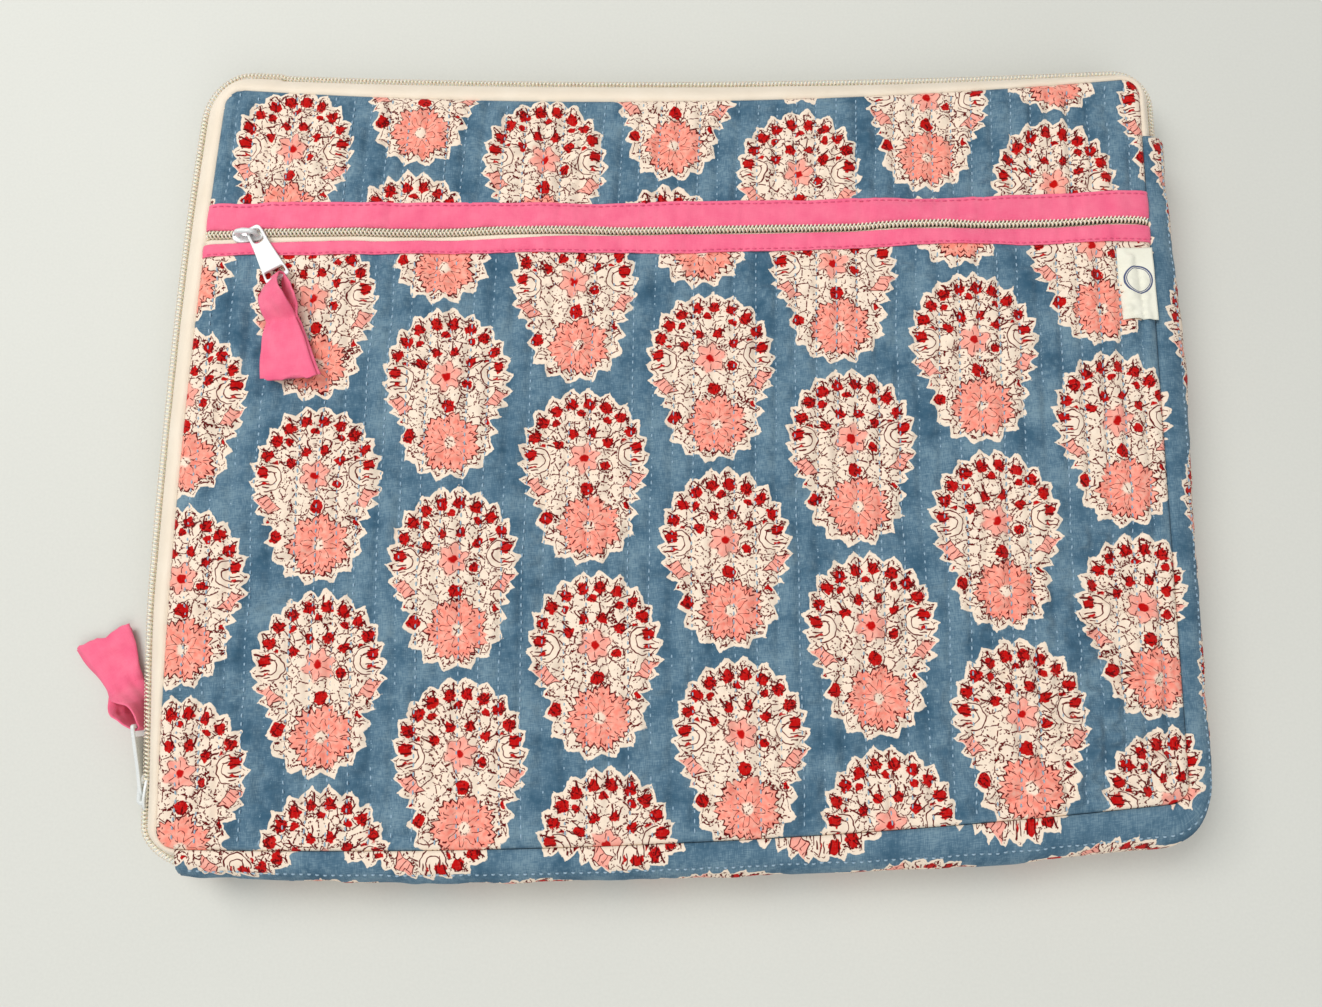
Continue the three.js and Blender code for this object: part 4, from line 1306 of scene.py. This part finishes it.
def build_sliders():
    main_low, main_high = box_mm("main_slider_body")
    main_y = (main_low[1] + main_high[1]) / 2
    on_edge = Matrix(((0, 0, -1), (1, 0, 0), (0, -1, 0))).to_4x4()
    carrier = Matrix.Translation((-HALF_W - FLARE, main_y, MID)) @ on_edge
    seam = np.array([[-HALF_W, main_y, MID]])
    shift = (settle(seam) - [zip_reach(seam)[0] - 2.0, 0, 0] - np.array(carrier.translation))[0]
    pivot, ring = joint_place("main_tab_swing"), joint_place("main_tail_swing")
    way = ring - pivot
    angle = math.atan2(way[1], way[0])
    reach = float(np.linalg.norm(way))
    build_slider(
        "main", carrier, shift, COIL / 2 + 1.3, -HALF_W - FLARE - pivot[0] + 1.5, 0.92,
        dict(length=reach + 0.8, angle=angle, at=pivot, set_back=0.0, standing=True),
        dict(at=ring, angle=math.radians(127), twist=math.pi / 2, drop=MID - 2.0, bend=-3.0,
             gape=2.2, arch=0.0, skew=0.22, seed=71))

    pocket_low, pocket_high = box_mm("pocket_slider_body")
    pocket_x = (pocket_low[0] + pocket_high[0]) / 2
    carrier = Matrix.Translation((pocket_x, ZIP_Y, POCKET_COIL_Z))
    chain = np.array([[pocket_x, ZIP_Y, POCKET_COIL_Z]])
    shift = (settle(chain) - chain)[0] + [0.3, -0.9, 0.0]
    pivot, ring = joint_place("pocket_tab_swing"), joint_place("pocket_tail_lift")
    way = ring - pivot
    angle = math.atan2(way[1], way[0])
    set_back = 1.9
    reach = float(np.linalg.norm(way)) + set_back
    build_slider(
        "pocket", carrier, shift, COIL / 2 + 2.6, pivot[2] - POCKET_COIL_Z + 1.6, 0.72,
        dict(length=reach + 0.8, angle=angle, at=pivot, set_back=set_back, standing=False),
        dict(at=ring, angle=math.radians(-84), twist=math.radians(42), drop=-0.3, bend=2.6,
             gape=2.0, arch=2.6, skew=0.05, seed=81))


# ------------------------------------------------------------------ the label
def build_label():
    low, high = box_mm("side_label")
    rows, columns = 39, 21
    x = np.linspace(low[0], high[0] - 0.4, columns + 1)
    y = np.linspace(high[1], low[1], rows + 1)
    Y, X = np.meshgrid(y, x, indexing="ij")
    t = (high[1] - Y) / (high[1] - low[1])
    curl = 0.7 * ease(t, 0.55, 1.0) * (1 - 0.5 * (X - low[0]) / 14) + 0.25 * noise(X, Y, 9, 91)
    Z = np.maximum(TOP + 0.55, front_height(X, Y) + 0.25) + np.maximum(curl, 0)
    upper = np.stack([X + 0.5 * t, Y, Z], -1)
    points, faces = layered(upper, upper - [0, 0, 0.34])
    faces = [face[::-1] for face in faces]
    label = make("side_label_cloth", points, faces, LABEL, "sleeve", points[:, :2])
    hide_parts("side_label")

    # A plain double ring printed on the label.
    centre = (low[0] + high[0]) / 2 + 0.3, low[1] + 16.0
    a = np.linspace(0, 2 * math.pi, 72)

    def circle(r):
        px, py = centre[0] + r * np.cos(a), centre[1] + r * np.sin(a)
        row = np.clip((high[1] - py) / (high[1] - low[1]) * rows, 0, rows - 0.01)
        column = np.clip((px - 0.5 * row / rows - x[0]) / (x[-1] - x[0]) * columns, 0, columns - 0.01)
        i, j = row.astype(int), column.astype(int)
        u, v = row - i, column - j
        above, below = Z[i, j] * (1 - v) + Z[i, j + 1] * v, Z[i + 1, j] * (1 - v) + Z[i + 1, j + 1] * v
        return np.stack([px, py, above * (1 - u) + below * u], -1)

    parts = []
    for radius, wide in ((5.4, 0.30), (4.7, 0.14)):
        inner, outer, lift = circle(radius - wide), circle(radius + wide), np.array([0, 0, 0.05])
        parts.append(loft(np.stack([inner - lift, outer - lift, outer + lift, inner + lift], 1), caps=False))
    points, faces = joined(parts)
    make("label_ring", points, faces, INK, "sleeve")


# ------------------------------------------------------------------ the inside
def inner_sheet(name, low, high, height, nodes, body="sleeve"):
    """A layer of softly wrinkled lining over the panel's outline. height is a number or a function of y."""
    X, Y = panel_grid(low, high, 90, 110, 0.3)
    wrinkles = 0.28 * noise(X, Y, 26, 101) + 0.16 * noise(X, Y, 9, 102)
    Z = (height(Y) if callable(height) else height) + wrinkles * ease(seam_distance(X, Y), 0, 12)
    upper = np.stack([X, Y, Z], -1)
    points, faces = layered(upper, upper - [0, 0, 0.3])
    piece = make(name, points, faces, LINING, body, points[:, :2])
    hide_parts(*nodes)


def pad(name, low, high, bottom, top, nodes, body):
    """A foam layer with soft rounded edges."""
    X, Y = panel_grid(low, high, 46, 60, 0.5)
    near = np.minimum(seam_distance(X, Y), np.minimum(Y - low, high - Y) + 0.2)
    soft = np.sqrt(np.clip(near, 0, 2.5) / 2.5)
    middle, half = (bottom + top) / 2, (top - bottom) / 2 - 0.05
    upper = np.stack([X, Y, middle + half * soft * (0.96 + 0.04 * noise(X, Y, 14, 111))], -1)
    points, faces = layered(upper, np.stack([X, Y, middle - half * soft], -1))
    piece = make(name, points, faces, BATTING, body)
    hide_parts(*nodes)


def build_inside():
    step_y = box_mm("front_lining")[1][1]
    pocket_top = box_mm("pocket_lining")[1][1]

    def front_step(y):
        rise = FLAP_LINING_Z - FRONT_LINING_Z
        return FRONT_LINING_Z + 0.4 + rise * ease(y, step_y - 26, step_y - 4)

    inner_sheet("back_lining_cloth", -HALF_H, HALF_H, COMPARTMENT_Z - 0.1, ["back_lining"])
    inner_sheet("front_lining_cloth", -HALF_H, HALF_H, front_step, ["front_lining", "flap_lining"],
                body=None)
    inner_sheet("pocket_lining_cloth", -HALF_H, pocket_top, POCKET_LINING_Z - 0.05, ["pocket_lining"])
    low, high = box_mm("back_padding")
    pad("back_foam", low[1], high[1], low[2], high[2], ["back_padding"], "sleeve")
    low, high = box_mm("front_padding")
    pad("front_foam", low[1], pocket_top, low[2], high[2], ["front_padding"], "sleeve")
    low, high = box_mm("flap_padding")
    pad("flap_foam", FOLD_AT[1] + 12, high[1], low[2], high[2] - 0.1, ["flap_padding"], "flap")


# ------------------------------------------------------------------ the scene
def build_scene():
    camera = bpy.data.objects.new("camera", bpy.data.cameras.new("camera"))
    camera.data.lens = 27.2
    camera.data.sensor_width = 36
    camera.location = np.array([-5.7, -88.4, 386.4]) * MM
    camera.rotation_euler = [math.radians(a) for a in (9.91, 0.34, -0.77)]
    camera.data.clip_start = 0.01
    bpy.context.collection.objects.link(camera)
    bpy.context.scene.camera = camera

    mesh = bpy.data.meshes.new("floor")
    reach = 3.0
    corners = [(-reach, -reach, 0), (reach, -reach, 0), (reach, reach, 0), (-reach, reach, 0)]
    mesh.from_pydata(corners, [], [(0, 1, 2, 3)])
    mesh.materials.append(floor_cloth())
    floor = bpy.data.objects.new("floor", mesh)
    bpy.context.collection.objects.link(floor)

    world = bpy.data.worlds.new("room")
    world.use_nodes = True
    background = world.node_tree.nodes["Background"]
    background.inputs["Color"].default_value = (0.96, 0.98, 1.0, 1)
    background.inputs["Strength"].default_value = 0.43
    bpy.context.scene.world = world
    for name, at, size, power in (("key", (-0.80, 0.60, 1.30), 0.9, 17.5),
                                  ("fill", (0.35, -1.0, 1.2), 1.3, 10.0)):
        light = bpy.data.lights.new(name, "AREA")
        light.size = size
        light.energy = power
        lamp = bpy.data.objects.new(name, light)
        lamp.location = at
        lamp.rotation_euler = (-Vector(at)).to_track_quat("-Z", "Y").to_euler()
        bpy.context.collection.objects.link(lamp)
    bpy.context.scene.view_settings.view_transform = "Standard"


build_scene()
build_front()
build_back()
build_gusset()
build_main_zip()
build_pocket_zip()
build_sliders()
build_label()
build_inside()
